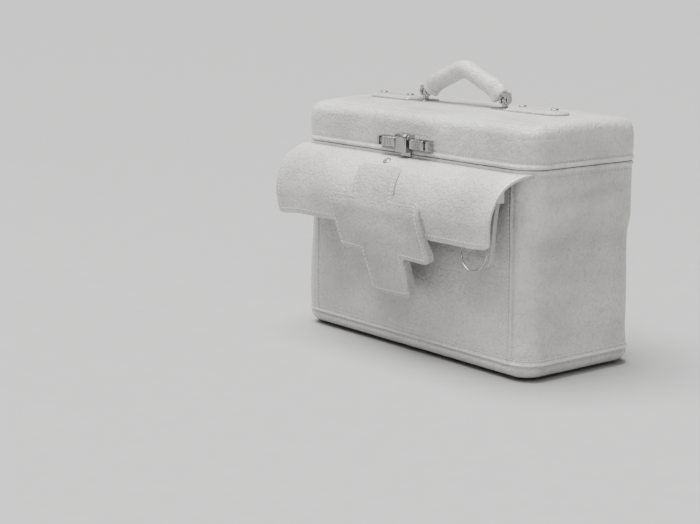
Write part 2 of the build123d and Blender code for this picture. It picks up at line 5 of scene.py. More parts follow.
import bmesh
import bpy
import numpy as np
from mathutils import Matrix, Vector


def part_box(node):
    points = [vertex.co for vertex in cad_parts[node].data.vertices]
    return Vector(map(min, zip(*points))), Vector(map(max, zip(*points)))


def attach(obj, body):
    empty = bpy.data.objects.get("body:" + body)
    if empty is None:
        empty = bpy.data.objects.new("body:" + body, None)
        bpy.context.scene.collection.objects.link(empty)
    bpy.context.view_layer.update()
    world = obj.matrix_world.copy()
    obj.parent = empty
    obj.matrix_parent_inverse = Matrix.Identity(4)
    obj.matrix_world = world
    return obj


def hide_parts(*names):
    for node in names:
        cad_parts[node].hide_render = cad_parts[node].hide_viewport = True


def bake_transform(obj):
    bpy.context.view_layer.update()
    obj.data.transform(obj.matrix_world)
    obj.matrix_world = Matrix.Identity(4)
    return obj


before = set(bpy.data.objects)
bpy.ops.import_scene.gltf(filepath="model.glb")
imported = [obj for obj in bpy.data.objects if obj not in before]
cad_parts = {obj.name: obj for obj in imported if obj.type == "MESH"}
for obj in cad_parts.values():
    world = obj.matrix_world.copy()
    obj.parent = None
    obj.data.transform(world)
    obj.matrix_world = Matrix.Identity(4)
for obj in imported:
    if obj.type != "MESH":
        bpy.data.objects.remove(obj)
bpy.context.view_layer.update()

MM = 0.001

# Sizes read from the frame
BASE_LOW, BASE_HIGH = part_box("base_panel")
LID_LOW, LID_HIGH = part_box("lid_shell")
_, WALL_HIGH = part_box("front_panel")
FLAP_LOW, FLAP_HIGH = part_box("flap")
TONGUE_LOW, TONGUE_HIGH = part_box("flap_tongue")

HALF_W = BASE_HIGH.x
HALF_D = BASE_HIGH.y
FRONT_Y = -HALF_D
FLAT_X = WALL_HIGH.x
CORNER = HALF_W - FLAT_X
BASE_Z = BASE_LOW.z
BASE_SEAM_Z = BASE_HIGH.z
WALL_TOP = WALL_HIGH.z
LID_Z = LID_LOW.z
LID_TOP = LID_HIGH.z

# Leather and lining; a pattern piece's dome rises within DOME_REACH of its edge
LEATHER = 2.9 * MM
DOME_REACH = 4 * MM
LINING_GAP = 3.4 * MM
LINING = 0.8 * MM
BASE_ROUND = 12 * MM
LID_ROUND = 14 * MM
CROWN = 5 * MM
CROWN_RADIUS = (CROWN**2 + HALF_D**2) / (2 * CROWN)

# Seams: a stitch is a ring for each (place in lengths, radius and height in thread radii)
PIPE = 1.3 * MM
PIPE_WIDTH = 1.5 * MM
RIM_SEAM = 7.2 * MM
LID_SEAM_INSET = 19 * MM
STITCH_PITCH = 4.8 * MM
STITCH_LENGTH = 3.5 * MM
STITCH_SLANT = 0.12
STITCH_SIDES = 6
STITCH_RINGS = [(-0.5, 0.25, -0.8), (-0.38, 0.85, 0.0), (0, 1.0, 0.35), (0.38, 0.85, 0.0), (0.5, 0.25, -0.8)]
THREAD_R = 0.5 * MM

# How strongly bends show as wear and hollows as painted shade, and how far they spread, in steps
WEAR_AND_SHADE_GAIN = 6.0
WEAR_AND_SHADE_PASSES = 3
RELAX_PASSES = 6

# Creases across the gussets: height out of the wall in mm, place, half-width, lean from front to back
CREASES = [(1.3, 183 * MM, 9 * MM, 0), (-1.5, 203 * MM, 7 * MM, -0.05), (-1.1, 112 * MM, 10 * MM, 0.12)]

# Room that the leather leaves for the metal, as half-widths
HINGE_X = 120 * MM
CATCH_ROOM = 13 * MM
CLASP_ROOM = 50 * MM
BODY_LEAF_ROOM = 23 * MM
LID_LEAF_ROOM = 26 * MM


# ---------------- numbers and meshes

def smooth(t):
    """Ramp from 0 to 1 with level ends."""
    t = np.clip(t, 0, 1)
    return t * t * (3 - 2 * t)


def window(value, low, high, soft):
    """1 between low and high, falling to 0 over soft on either side."""
    return smooth((value - low + soft) / soft) * smooth((high + soft - value) / soft)


def hump(value, middle, width):
    """Bell curve: 1 at the middle, and nearly 0 at twice the width from it."""
    return np.exp(-(((value - middle) / width) ** 2))


def arch(share):
    """Half a cosine wave: 1 at share 0, and 0 from -1 down and from 1 up."""
    return np.cos(np.clip(share, -1, 1) * math.pi / 2)


def unit(vectors):
    """Rows scaled to length 1."""
    return vectors / np.linalg.norm(vectors, axis=1)[:, None]


def arc_length(points):
    """Running length along a polyline."""
    return np.concatenate([[0], np.cumsum(np.linalg.norm(np.diff(points, axis=0), axis=1))])


def at_length(at, length, rows):
    """Rows interpolated at places along a running length."""
    return np.column_stack([np.interp(at, length, column) for column in rows.T])


def even(points, gap=0.5 * MM):
    """Polyline resampled at an even gap, as measured in its first two columns."""
    length = arc_length(points[:, :2])
    return at_length(np.linspace(0, length[-1], int(length[-1] / gap) + 1), length, points)


def rectangle(x0, y0, x1, y1):
    """Corners, anticlockwise."""
    return [(x0, y0), (x1, y0), (x1, y1), (x0, y1)]


def ring_faces(levels, around, base=0):
    """Faces of a closed solid through rings of points, the first point having index base."""
    faces = []
    for i in range(levels - 1):
        a = base + i * around
        for j in range(around):
            k = (j + 1) % around
            faces.append((a + j, a + k, a + around + k, a + around + j))
    last = base + (levels - 1) * around
    faces.append(tuple(range(base, base + around)))
    faces.append(tuple(range(last + around - 1, last - 1, -1)))
    return faces


def make_object(name, points, faces):
    """Mesh object with smooth faces that point outward."""
    mesh = bpy.data.meshes.new(name)
    mesh.from_pydata(np.asarray(points, float).tolist(), [], faces)
    mesh.update()
    obj = bpy.data.objects.new(name, mesh)
    bpy.context.scene.collection.objects.link(obj)
    tidy_mesh(obj)
    return obj


def tidy_mesh(obj):
    """Merge doubles, turn the faces outward and shade them smooth."""
    bm = bmesh.new()
    bm.from_mesh(obj.data)
    bmesh.ops.remove_doubles(bm, verts=bm.verts, dist=1e-6)
    bmesh.ops.recalc_face_normals(bm, faces=bm.faces)
    for face in bm.faces:
        face.smooth = True
    bm.to_mesh(obj.data)
    bm.free()


def apply_modifiers(obj):
    """Make the modifiers' result the object's own mesh."""
    graph = bpy.context.evaluated_depsgraph_get()
    mesh = bpy.data.meshes.new_from_object(obj.evaluated_get(graph))
    obj.modifiers.clear()
    old = obj.data
    obj.data = mesh
    bpy.data.meshes.remove(old)
    for polygon in obj.data.polygons:
        polygon.use_smooth = True
    return obj


def coords(obj):
    """The object's points as an array."""
    out = np.zeros(len(obj.data.vertices) * 3)
    obj.data.vertices.foreach_get("co", out)
    return out.reshape(-1, 3)


def set_coords(obj, points):
    """Move the object's points."""
    obj.data.vertices.foreach_set("co", np.asarray(points, float).ravel())
    obj.data.update()


def mark_wear_and_shade(obj, gain=1.0):
    """Store how far each point stands proud of its neighbours, as wear, or below them, as painted shade in
    the hollows.
    """
    mesh = obj.data
    count = len(mesh.vertices)
    points = coords(obj)
    edges = np.zeros(len(mesh.edges) * 2, int)
    mesh.edges.foreach_get("vertices", edges)
    a, b = edges.reshape(-1, 2).T
    normals = np.zeros(count * 3)
    mesh.vertices.foreach_get("normal", normals)
    normals = normals.reshape(-1, 3)
    degree = np.maximum(np.bincount(a, minlength=count) + np.bincount(b, minlength=count), 1)
    gap = points[b] - points[a]
    length = np.maximum(np.linalg.norm(gap, axis=1), 1e-7)
    rise_a = -(gap * normals[a]).sum(1) / length
    rise_b = (gap * normals[b]).sum(1) / length
    value = (np.bincount(a, rise_a, count) + np.bincount(b, rise_b, count)) / degree
    for _ in range(WEAR_AND_SHADE_PASSES):
        beside = np.bincount(a, value[b], count) + np.bincount(b, value[a], count)
        value = 0.5 * value + 0.5 * beside / degree
    # The hollows' value is painted shade: the leather is darkened there as if shaded
    for name, sign in (("wear", 1), ("hollow_shade", -1)):
        level = np.clip(sign * gain * value * WEAR_AND_SHADE_GAIN, 0, 1)
        layer = mesh.attributes.get(name) or mesh.attributes.new(name, "FLOAT", "POINT")
        layer.data.foreach_set("value", level.astype(np.float32))
    return obj


def loft(name, rings):
    """Closed solid through closed rings of points, with a flat face at each end."""
    rings = np.asarray(rings)
    return make_object(name, rings.reshape(-1, 3), ring_faces(*rings.shape[:2]))


def tube(name, path, side, radii_a, radii_b, section, around):
    """Closed solid of elliptical section along a path; side is the section's first axis,
    and section(angle) scales the radius round it."""
    first = np.broadcast_to(np.asarray(side, float), path.shape)
    second = np.cross(unit(np.gradient(path, axis=0)), first)
    angle = np.linspace(0, 2 * math.pi, around, endpoint=False)
    scale = section(angle)
    rings = (
        path[:, None]
        + first[:, None] * (radii_a[:, None] * scale * np.cos(angle))[..., None]
        + second[:, None] * (radii_b[:, None] * scale * np.sin(angle))[..., None]
    )
    return loft(name, rings)


def add_bevel(obj, width, segments, degrees):
    """Round the edges that turn by more than an angle."""
    bevel = obj.modifiers.new("edge", "BEVEL")
    bevel.width = width
    bevel.segments = segments
    bevel.limit_method = "ANGLE"
    bevel.angle_limit = math.radians(degrees)
    return bevel


def set_material(obj, material):
    """Give an object one material."""
    obj.data.materials.clear()
    obj.data.materials.append(material)


def finish_piece(obj, body, material, slot, *replaced):
    """Give a piece its material, its body and the nodes that it stands for."""
    set_material(obj, material)
    if body:
        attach(obj, body)
    if replaced:
        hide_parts(*replaced)
    return obj


# ---------------- flat pattern pieces

def rounded(corners, radius, step=1.0 * MM):
    """Dense closed outline through corners, each turned with an arc; one radius or a list."""
    corners = np.asarray(corners, float)
    count = len(corners)
    radius = [radius] * count if np.isscalar(radius) else radius
    ends = []
    for i in range(count):
        here = corners[i]
        back = corners[i - 1] - here
        ahead = corners[(i + 1) % count] - here
        back, ahead = back / np.linalg.norm(back), ahead / np.linalg.norm(ahead)
        turn = math.acos(np.clip(back @ ahead, -1, 1))
        reach = radius[i] / math.tan(turn / 2)
        centre = here + (back + ahead) / np.linalg.norm(back + ahead) * radius[i] / math.sin(turn / 2)
        a, b = here + back * reach - centre, here + ahead * reach - centre
        sweep = math.pi - turn
        arc = []
        for t in np.linspace(0, 1, max(3, int(radius[i] * sweep / step) + 2)):
            share = math.sin((1 - t) * sweep), math.sin(t * sweep)
            arc.append(centre + (a * share[0] + b * share[1]) / math.sin(sweep))
        ends.append(arc)
    points = []
    for i in range(count):
        points += ends[i]
        start, stop = ends[i][-1], ends[(i + 1) % count][0]
        gaps = max(1, int(np.linalg.norm(stop - start) / step))
        points += [start + (stop - start) * k / gaps for k in range(1, gaps)]
    return np.array(points)


def inset_corners(corners, distance):
    """Corners of an anticlockwise outline moved inward by distance."""
    corners = np.asarray(corners, float)
    moved = []
    for i in range(len(corners)):
        a = corners[i] - corners[i - 1]
        b = corners[(i + 1) % len(corners)] - corners[i]
        na = np.array((-a[1], a[0])) / np.linalg.norm(a)
        nb = np.array((-b[1], b[0])) / np.linalg.norm(b)
        moved.append(corners[i] + (na + nb) * distance / (1 + na @ nb))
    return np.array(moved)


def to_outline(points, outline):
    """Nearest outline point and signed distance, negative inside, for each point."""
    a = outline
    d = np.roll(outline, -1, axis=0) - a
    best = np.full(len(points), 1e9)
    near = np.zeros_like(points)
    inside = np.zeros(len(points), bool)
    for p, v in zip(a, d):
        t = np.clip(((points - p) @ v) / max(v @ v, 1e-18), 0, 1)
        q = p + t[:, None] * v
        gap = np.linalg.norm(points - q, axis=1)
        closer = gap < best
        best[closer] = gap[closer]
        near[closer] = q[closer]
        crosses = (p[1] > points[:, 1]) != (p[1] + v[1] > points[:, 1])
        slope = v[0] / v[1] if v[1] else 0
        inside ^= crosses & (points[:, 0] < p[0] + slope * (points[:, 1] - p[1]))
    return near, np.where(inside, -best, best)


def cut_grid(outline, step):
    """Points and square faces of the grid cells whose middles lie inside an outline."""
    low, high = outline.min(0), outline.max(0)
    nx, ny = np.maximum(1, np.round((high - low) / step)).astype(int)
    xs, ys = np.linspace(low[0], high[0], nx + 1), np.linspace(low[1], high[1], ny + 1)
    grid = np.array([(x, y) for x in xs for y in ys])
    middle_x, middle_y = (xs[:-1] + xs[1:]) / 2, (ys[:-1] + ys[1:]) / 2
    middles = np.array([(x, y) for x in middle_x for y in middle_y])
    faces = []
    for index in np.flatnonzero(to_outline(middles, outline)[1] < 0):
        i, j = divmod(int(index), ny)
        a = i * (ny + 1) + j
        faces.append((a, a + ny + 1, a + ny + 2, a + 1))
    used = sorted({v for face in faces for v in face})
    number = {v: k for k, v in enumerate(used)}
    return grid[used], [tuple(number[v] for v in face) for face in faces]


def dome_height(half, dome, depth):
    """Height of a pattern piece's face at a depth inside its outline."""
    return half + dome * (1 - np.exp(-depth / DOME_REACH))


def pattern_piece(name, outline, step, half, dome, place, edge=1.0 * MM, segments=3):
    """Leather piece cut to an outline: half-thickness half at its edge, swelling by dome,
    with rounded edges, then carried into space by place(x, y, height)."""
    flat, top = cut_grid(outline, step)
    uses = {}
    for face in top:
        for pair in zip(face, face[1:] + face[:1]):
            uses.setdefault(frozenset(pair), []).append(pair)
    border = [pairs[0] for pairs in uses.values() if len(pairs) == 1]
    rim = sorted({v for pair in border for v in pair})
    flat[rim] = to_outline(flat[rim], outline)[0]
    links = np.array([sorted(pair) for pair in uses])
    free = np.ones(len(flat), bool)
    free[rim] = False
    for _ in range(RELAX_PASSES):
        total = np.zeros_like(flat)
        for k in (0, 1):
            np.add.at(total, links[:, k], flat[links[:, 1 - k]])
        mean = total / np.bincount(links.ravel(), minlength=len(flat))[:, None]
        flat[free] = mean[free]
    depth = np.maximum(-to_outline(flat, outline)[1], 0)
    depth[rim] = 0
    count = len(flat)
    upper = np.column_stack([flat, dome_height(half, dome, depth)])
    lower = np.column_stack([flat, np.full(count, -half)])
    faces = top + [tuple(v + count for v in reversed(face)) for face in top]
    faces += [(b, a, a + count, b + count) for a, b in border]
    obj = make_object(name, np.vstack([upper, lower]), faces)
    add_bevel(obj, edge, segments, degrees=50)
    subdivision = obj.modifiers.new("subdivision", "SUBSURF")
    subdivision.levels = subdivision.render_levels = 1
    apply_modifiers(obj)
    set_coords(obj, place(*coords(obj).T))
    tidy_mesh(obj)
    return obj


# ---------------- stitches

def stitch_frames(points, normals, closed, pitch):
    """Centre, direction, outward direction and sideways direction of each stitch on a path."""
    line, facing = np.asarray(points, float), np.asarray(normals)
    if closed:
        line, facing = np.vstack([line, line[:1]]), np.vstack([facing, facing[:1]])
    length = arc_length(line)
    count = max(2, int(length[-1] / pitch))
    at = (np.arange(count) + 0.5) * length[-1] / count
    reach = 0.4 * pitch
    up = unit(at_length(at, length, facing))
    along = at_length(at + reach, length, line) - at_length(at - reach, length, line)
    along = unit(along - up * (along * up).sum(1)[:, None])
    return at_length(at, length, line), along, up, np.cross(up, along)


def sew(name, runs, body, radius=THREAD_R, pitch=STITCH_PITCH, long=STITCH_LENGTH):
    """One mesh of separate stitches along runs of (points, outward normals, closed)."""
    angle = np.linspace(0, 2 * math.pi, STITCH_SIDES, endpoint=False)
    rings, faces = [], []
    for run in runs:
        for centre, along, up, side in zip(*stitch_frames(*run, pitch)):
            faces += ring_faces(len(STITCH_RINGS), STITCH_SIDES, len(rings) * STITCH_SIDES)
            slant = along + STITCH_SLANT * side
            circle = np.outer(np.cos(angle), side) + np.outer(np.sin(angle), up)
            for place, size, height in STITCH_RINGS:
                middle = centre + slant * place * long + up * height * radius
                rings.append(middle + radius * size * circle)
    obj = make_object(name, np.vstack(rings), faces)
    return finish_piece(obj, body, thread, "leather_edge")


def surface_run(place, line, height, closed):
    """Stitch run on a pattern piece's surface: points, normals and whether it closes."""
    points = place(line[:, 0], line[:, 1], np.full(len(line), height))
    above = place(line[:, 0], line[:, 1], np.full(len(line), height + 1 * MM))
    return points, above - points, closed


# ---------------- materials

class Graph:
    """Shader nodes of one material; a value is a number, a colour or another node's output."""

    def __init__(self, name):
        self.material = bpy.data.materials.new(name)
        self.material.use_nodes = True
        self.tree = self.material.node_tree
        self.place = self.tree.nodes.new("ShaderNodeTexCoord").outputs["Object"]

    def join(self, node, values):
        """Set or link a node's inputs, by name or number."""
        for key, value in values.items():
            socket = node.inputs[key]
            if isinstance(value, bpy.types.NodeSocket):
                self.tree.links.new(value, socket)
            else:
                socket.default_value = (*value, 1) if socket.type == "RGBA" else value

    def add(self, kind, values, output=0, **settings):
        """New node with its settings and inputs; gives back one of its outputs."""
        node = self.tree.nodes.new("ShaderNode" + kind)
        for name, setting in settings.items():
            setattr(node, name, setting)
        self.join(node, values)
        return node.outputs[output]

    def noise(self, scale, detail=3.0, rough=0.5, place=None):
        """Noise value."""
        place = self.place if place is None else place
        values = {"Vector": place, "Scale": scale, "Detail": detail, "Roughness": rough}
        return self.add("TexNoise", values, "Fac")

    def cells(self, scale, feature="F1", place=None):
        """Distance in a pattern of cells."""
        place = self.place if place is None else place
        return self.add("TexVoronoi", {"Vector": place, "Scale": scale}, "Distance", feature=feature)

    def stored(self, name):
        """Value stored on the mesh."""
        return self.add("Attribute", {}, "Fac", attribute_name=name)

    def calc(self, operation, *values):
        """Arithmetic; MULTIPLY_ADD gives the first times the second, plus the third."""
        return self.add("Math", dict(enumerate(values)), operation=operation)

    def spread(self, value, low, high, to_low=0.0, to_high=1.0):
        """Value mapped from one range to another, clamped."""
        values = {"Value": value, "From Min": low, "From Max": high, "To Min": to_low, "To Max": to_high}
        return self.add("MapRange", values)

    def blend(self, share, first, second):
        """Colour from the first at share 0 to the second at share 1."""
        return self.add("Mix", {"Factor": share, 6: first, 7: second}, 2, data_type="RGBA")

    def two_tone(self, value, low, high, dark, light):
        """Colour from dark to light as the value goes from low to high."""
        return self.blend(self.spread(value, low, high), dark, light)

    def bump(self, height, strength, distance):
        """Normal of a relief."""
        return self.add("Bump", {"Height": height, "Strength": strength, "Distance": distance}, "Normal")

    def finish(self, values):
        """Set the Principled shader's inputs and give back the material."""
        self.join(self.tree.nodes["Principled BSDF"], values)
        return self.material


def darker(colour, share):
    """Colour with each part cut to a share."""
    return tuple(share * part for part in colour)


def leather_material(name, light, dark, worn, grain=420.0, depth=0.7 * MM):
    """Pebbled leather: grain cells, fine wrinkles, patchy tone, worn edges, and painted shade in the grain's
    hollows, along the creases and in the mesh's hollows.
    """
    graph = Graph(name)
    patch = graph.noise(9.0, 4.0, 0.55)
    fleck = graph.noise(90.0, 5.0, 0.6)
    wrinkle = graph.add("TexNoise", {"Vector": graph.place, "Scale": 160.0}, "Color")
    wobble = {0: wrinkle, 1: (0.004, 0.004, 0.004), 2: graph.place}
    moved = graph.add("VectorMath", wobble, "Vector", operation="MULTIPLY_ADD")
    pebble = graph.cells(grain, "SMOOTH_F1", moved)
    small = graph.cells(grain * 2.4, "F1", moved)
    crease = graph.spread(graph.cells(grain * 0.22, "DISTANCE_TO_EDGE", moved), 0.0, 0.12)
    fold = graph.spread(graph.noise(24.0), 0.3, 0.7)
    height = graph.calc("MULTIPLY_ADD", pebble, -0.75, 1.0)
    for layer, share in ((small, -0.28), (crease, 0.45), (fold, 2.2)):
        height = graph.calc("MULTIPLY_ADD", layer, share, height)
    colour = graph.two_tone(graph.calc("MULTIPLY_ADD", fleck, 0.15, patch), 0.40, 0.75, dark, light)
    # Painted shade: darker in the hollows between the grain's pebbles, where the relief dips
    colour = graph.blend(graph.spread(pebble, 0.40, 0.80, 0.0, 0.35), colour, darker(dark, 0.5))
    # Painted shade: darker along the fine creases of the relief, where the folds rise
    crease_shade = graph.calc("MULTIPLY", graph.spread(crease, 0.0, 1.0, 0.13, 0.0), fold)
    colour = graph.blend(crease_shade, colour, darker(dark, 0.55))
    # Painted shade: darker where the mesh has hollows, from the stored hollow measure
    hollow_shade = graph.calc("MULTIPLY", graph.stored("hollow_shade"), 0.8)
    colour = graph.blend(hollow_shade, colour, darker(dark, 0.4))
    rubbed = graph.calc("MULTIPLY", graph.stored("wear"), graph.spread(fleck, 0.35, 0.65, 0.35, 1.0))
    rough = graph.spread(graph.calc("MULTIPLY_ADD", patch, 0.6, pebble), 0.3, 1.3, 0.30, 0.52)
    return graph.finish({
        "Base Color": graph.blend(rubbed, colour, worn),
        "Roughness": graph.calc("SUBTRACT", rough, graph.calc("MULTIPLY", rubbed, 0.10)),
        "Specular IOR Level": 0.5,
        "Normal": graph.bump(height, 1.0, depth),
    })


def metal_material(name, light, dark, rough_low, rough_high):
    """Plated metal with fine scratches and smudges."""
    graph = Graph(name)
    smudge = graph.noise(60.0, 4.0, 0.6)
    stretch = {"Vector": graph.place, "Scale": (60.0, 900.0, 1400.0), "Rotation": (0.1, 0.3, 0.5)}
    scratch = graph.noise(1.0, 2.0, 0.6, graph.add("Mapping", stretch))
    marks = graph.calc("MULTIPLY_ADD", scratch, 0.5, smudge)
    return graph.finish({
        "Base Color": graph.two_tone(smudge, 0.3, 0.7, dark, light),
        "Roughness": graph.spread(marks, 0.5, 1.0, rough_low, rough_high),
        "Metallic": 1.0,
        "Normal": graph.bump(scratch, 0.15, 0.05 * MM),
    })


def fabric_material(name, light, dark, pitch):
    """Twill lining: two sets of threads at a pitch, with slubs and patchy tone."""
    graph = Graph(name)
    x, y, z = graph.add("SeparateXYZ", {0: graph.place}).node.outputs
    turn = 2 * math.pi / pitch
    across = graph.calc("MULTIPLY", graph.calc("ADD", x, y), turn)
    slope = graph.calc("MULTIPLY_ADD", graph.calc("SUBTRACT", x, y), 0.5, z)
    down = graph.calc("MULTIPLY", slope, turn)
    weave = graph.calc("MAXIMUM", graph.calc("SINE", across), graph.calc("SINE", down))
    slub = graph.noise(320.0, 3.0, 0.6)
    patch = graph.noise(14.0)
    tone = graph.calc("MULTIPLY_ADD", weave, 0.3, graph.calc("ADD", slub, patch))
    return graph.finish({
        "Base Color": graph.two_tone(tone, 0.6, 1.6, dark, light),
        "Roughness": graph.spread(slub, 0.3, 0.7, 0.78, 0.95),
        "Sheen Weight": 0.25,
        "Sheen Roughness": 0.4,
        "Normal": graph.bump(graph.calc("ADD", weave, slub), 0.5, 0.25 * MM),
    })


def grainy_material(name, light, dark, scale, rough_low=0.75, rough_high=0.95, depth=0.3 * MM):
    """Board, foam, cord, thread or paper: speckled tone, rough, with a fine relief."""
    graph = Graph(name)
    grain = graph.noise(scale, 5.0, 0.65)
    tone = graph.calc("MULTIPLY_ADD", graph.cells(scale * 1.7), 0.4, grain)
    return graph.finish({
        "Base Color": graph.two_tone(tone, 0.45, 0.95, dark, light),
        "Roughness": graph.spread(grain, 0.3, 0.7, rough_low, rough_high),
        "Normal": graph.bump(tone, 0.4, depth),
    })


LEATHER_LIGHT = (0.61, 0.60, 0.58)
LEATHER_DARK = (0.42, 0.41, 0.39)
LEATHER_WORN = (0.82, 0.81, 0.79)

leather = leather_material("leather", LEATHER_LIGHT, LEATHER_DARK, LEATHER_WORN)
trim_leather = leather_material(
    "leather_edge", (0.47, 0.46, 0.44), (0.33, 0.32, 0.305), LEATHER_WORN, depth=0.8 * MM
)
grip_leather = leather_material(
    "handle_leather", LEATHER_LIGHT, (0.45, 0.44, 0.42), LEATHER_WORN, 400.0, 0.8 * MM
)
lining_fabric = fabric_material("fabric_lining", (0.50, 0.49, 0.47), (0.33, 0.32, 0.31), 1.6 * MM)
thread = grainy_material("thread", (0.82, 0.81, 0.78), (0.64, 0.63, 0.60), 1500.0, 0.55, 0.75, 0.15 * MM)
nickel = metal_material("nickel", (0.52, 0.51, 0.49), (0.34, 0.335, 0.325), 0.20, 0.38)
steel = metal_material("steel", (0.62, 0.62, 0.62), (0.44, 0.44, 0.45), 0.28, 0.46)
board = grainy_material("board", (0.50, 0.44, 0.36), (0.36, 0.31, 0.25), 300.0)
foam = grainy_material("foam", (0.78, 0.77, 0.70), (0.62, 0.60, 0.54), 700.0)
cord_core = grainy_material("cord_core", (0.70, 0.66, 0.58), (0.50, 0.46, 0.40), 900.0)


# ---------------- the bag's plan

# Distances from a seam at which the rings have points
FINE = np.array([0.0, 0.5, 1.0, 1.5, 2.1, 2.8, 3.7, 4.8, 6.4, 8.8, 12.0]) * MM
CORNER_FINE = FINE[:8] / (CORNER * math.pi / 2)
CORNER_STOPS = np.concatenate([CORNER_FINE, np.linspace(0.16, 0.84, 9), 1 - CORNER_FINE[::-1]])


def side_stops(half, step=6 * MM):
    """Places along a straight side, closer together near its ends."""
    inner = half - FINE[-1]
    middle = np.linspace(-inner, inner, max(2, int(2 * inner / step)))
    return np.concatenate([-half + FINE[:-1], middle, half - FINE[-2::-1]])


LONG_STOPS = side_stops(FLAT_X) / FLAT_X
SHORT_STOPS = side_stops(HALF_D - CORNER) / (HALF_D - CORNER)
LEAST_CORNER = 4 * MM


def plan(inset):
    """Points and outward normals round the bag at an inset from its outer face."""
    radius = max(CORNER - inset, LEAST_CORNER)
    flat_x, flat_y = HALF_W - inset - radius, HALF_D - inset - radius
    points, normals = [], []
    sides = [
        (LONG_STOPS, flat_x, flat_y, -90),
        (SHORT_STOPS, flat_y, flat_x, 0),
        (LONG_STOPS, flat_x, flat_y, 90),
        (SHORT_STOPS, flat_y, flat_x, 180),
    ]
    for stops, along, out, turn in sides:
        normal = np.array((math.cos(math.radians(turn)), math.sin(math.radians(turn))))
        tangent = np.array((-normal[1], normal[0]))
        for stop in stops:
            points.append(normal * (out + radius) + tangent * stop * along)
            normals.append(normal)
        centre = normal * out + tangent * along
        for stop in CORNER_STOPS[1:-1]:
            angle = math.radians(turn + 90 * stop)
            direction = np.array((math.cos(angle), math.sin(angle)))
            points.append(centre + direction * radius)
            normals.append(direction)
    return np.array(points), np.array(normals)


def ring(inset, z, push):
    """Ring of the shell at an inset and height, pushed outward by push(x, y, nx, ny, z)."""
    points, normals = plan(inset)
    height = np.broadcast_to(z, len(points)).astype(float)
    out = push(points[:, 0], points[:, 1], normals[:, 0], normals[:, 1], height)
    return np.column_stack([points + normals * out[:, None], height])


def straight(x, y, nx, ny, z):
    """A push of nothing: the wall as the plan has it."""
    return np.zeros_like(z)


def flat_rings(z, *insets):
    """Straight rings at one height, at insets in millimetres."""
    return [ring(inset * MM, z, straight) for inset in insets]


def ridge(distance, width=PIPE_WIDTH):
    """Profile of a piped seam: a round ridge with a groove on each side."""
    return hump(distance, 0, width) - 0.42 * hump(np.abs(distance), 2.6 * width, width)


def sag(x, y, nx, ny, z):
    """How far the body's soft walls stand out from the flat wall."""
    right = np.clip(nx, 0, 1) ** 2
    left = np.clip(-nx, 0, 1) ** 2
    front = np.clip(-ny, 0, 1) ** 2
    back = np.clip(ny, 0, 1) ** 2
    level = smooth((z - 14 * MM) / (34 * MM)) * smooth((176 * MM - z) / (30 * MM))
    across = arch(x / FLAT_X)
    deep = arch(y / HALF_D)
    dents = np.sin(x * 31 + z * 17 + 0.6) * np.sin(z * 29 - x * 11 + y * 23)
    dents += 0.6 * np.sin(x * 57 - z * 43 + 2.0)
    folds = sum(size * hump(z + lean * y, place, width) for size, place, width, lean in CREASES)
    out = right * level * (-7.0 + 1.6 * deep + 1.6 * np.sin(z * 38))
    out += left * (window(z, 20 * MM, 95 * MM, 45 * MM) * 4.5 - 1.5 * level * deep)
    out += (right + 0.7 * left) * deep * folds
    out += front * level * (1.6 * across * np.sin((z - 20 * MM) * 22) - 1.2 * (1 - across))
    out += back * level * (2.2 * across * np.sin((z - 20 * MM) * 21))
    return (out + level * dents) * MM


def hardware_gap(x, ny, clasp=CATCH_ROOM, clasp_soft=4 * MM, leaf=BODY_LEAF_ROOM, leaf_soft=4 * MM):
    """0 beside the clasp and the hinges, where the leather is pressed flat, and 1 elsewhere."""
    front = (ny < -0.5) * window(np.abs(x), 0, clasp, clasp_soft)
    back = (ny > 0.5) * window(np.abs(np.abs(x) - HINGE_X), 0, leaf, leaf_soft)
    return 1 - np.maximum(front, back)


def body_skin(x, y, nx, ny, z):
    """The sagging wall with its piped seams, and a rolled rim except under the flap."""
    on_wall = smooth((z - 19 * MM) / (4 * MM)) * smooth((WALL_TOP - 8 * MM - z) / (6 * MM))
    upright = (np.abs(ny) > 0.2) * ridge(FLAT_X - np.abs(x)) * PIPE * 0.85 * on_wall
    level = ridge(z - BASE_SEAM_Z) * PIPE
    rim = 1.4 * MM * hump(z, WALL_TOP - 2.6 * MM, 2.4 * MM) * hardware_gap(x, ny)
    rim -= 0.7 * MM * hump(z, WALL_TOP - RIM_SEAM, 1.4 * MM)
    flap_side = smooth((-ny - 0.05) / 0.75)
    return sag(x, y, nx, ny, z) + upright + level + rim * (1 - flap_side)


def round_edge(radius, count, start_inset, start_z):
    """(inset, z) round the lower edge, from the base to the wall."""
    turns = np.linspace(0, math.pi / 2, count)
    return [(start_inset + radius * (1 - math.sin(a)), start_z + radius * (1 - math.cos(a))) for a in turns]


def height_runs(*runs):
    """Heights through several runs of (start, stop, step), all in millimetres."""
    out = []
    for start, stop, step in runs:
        count = max(1, round((stop - start) / step))
        out += [start + (stop - start) * k / count for k in range(count)]
    return np.array(out) * MM


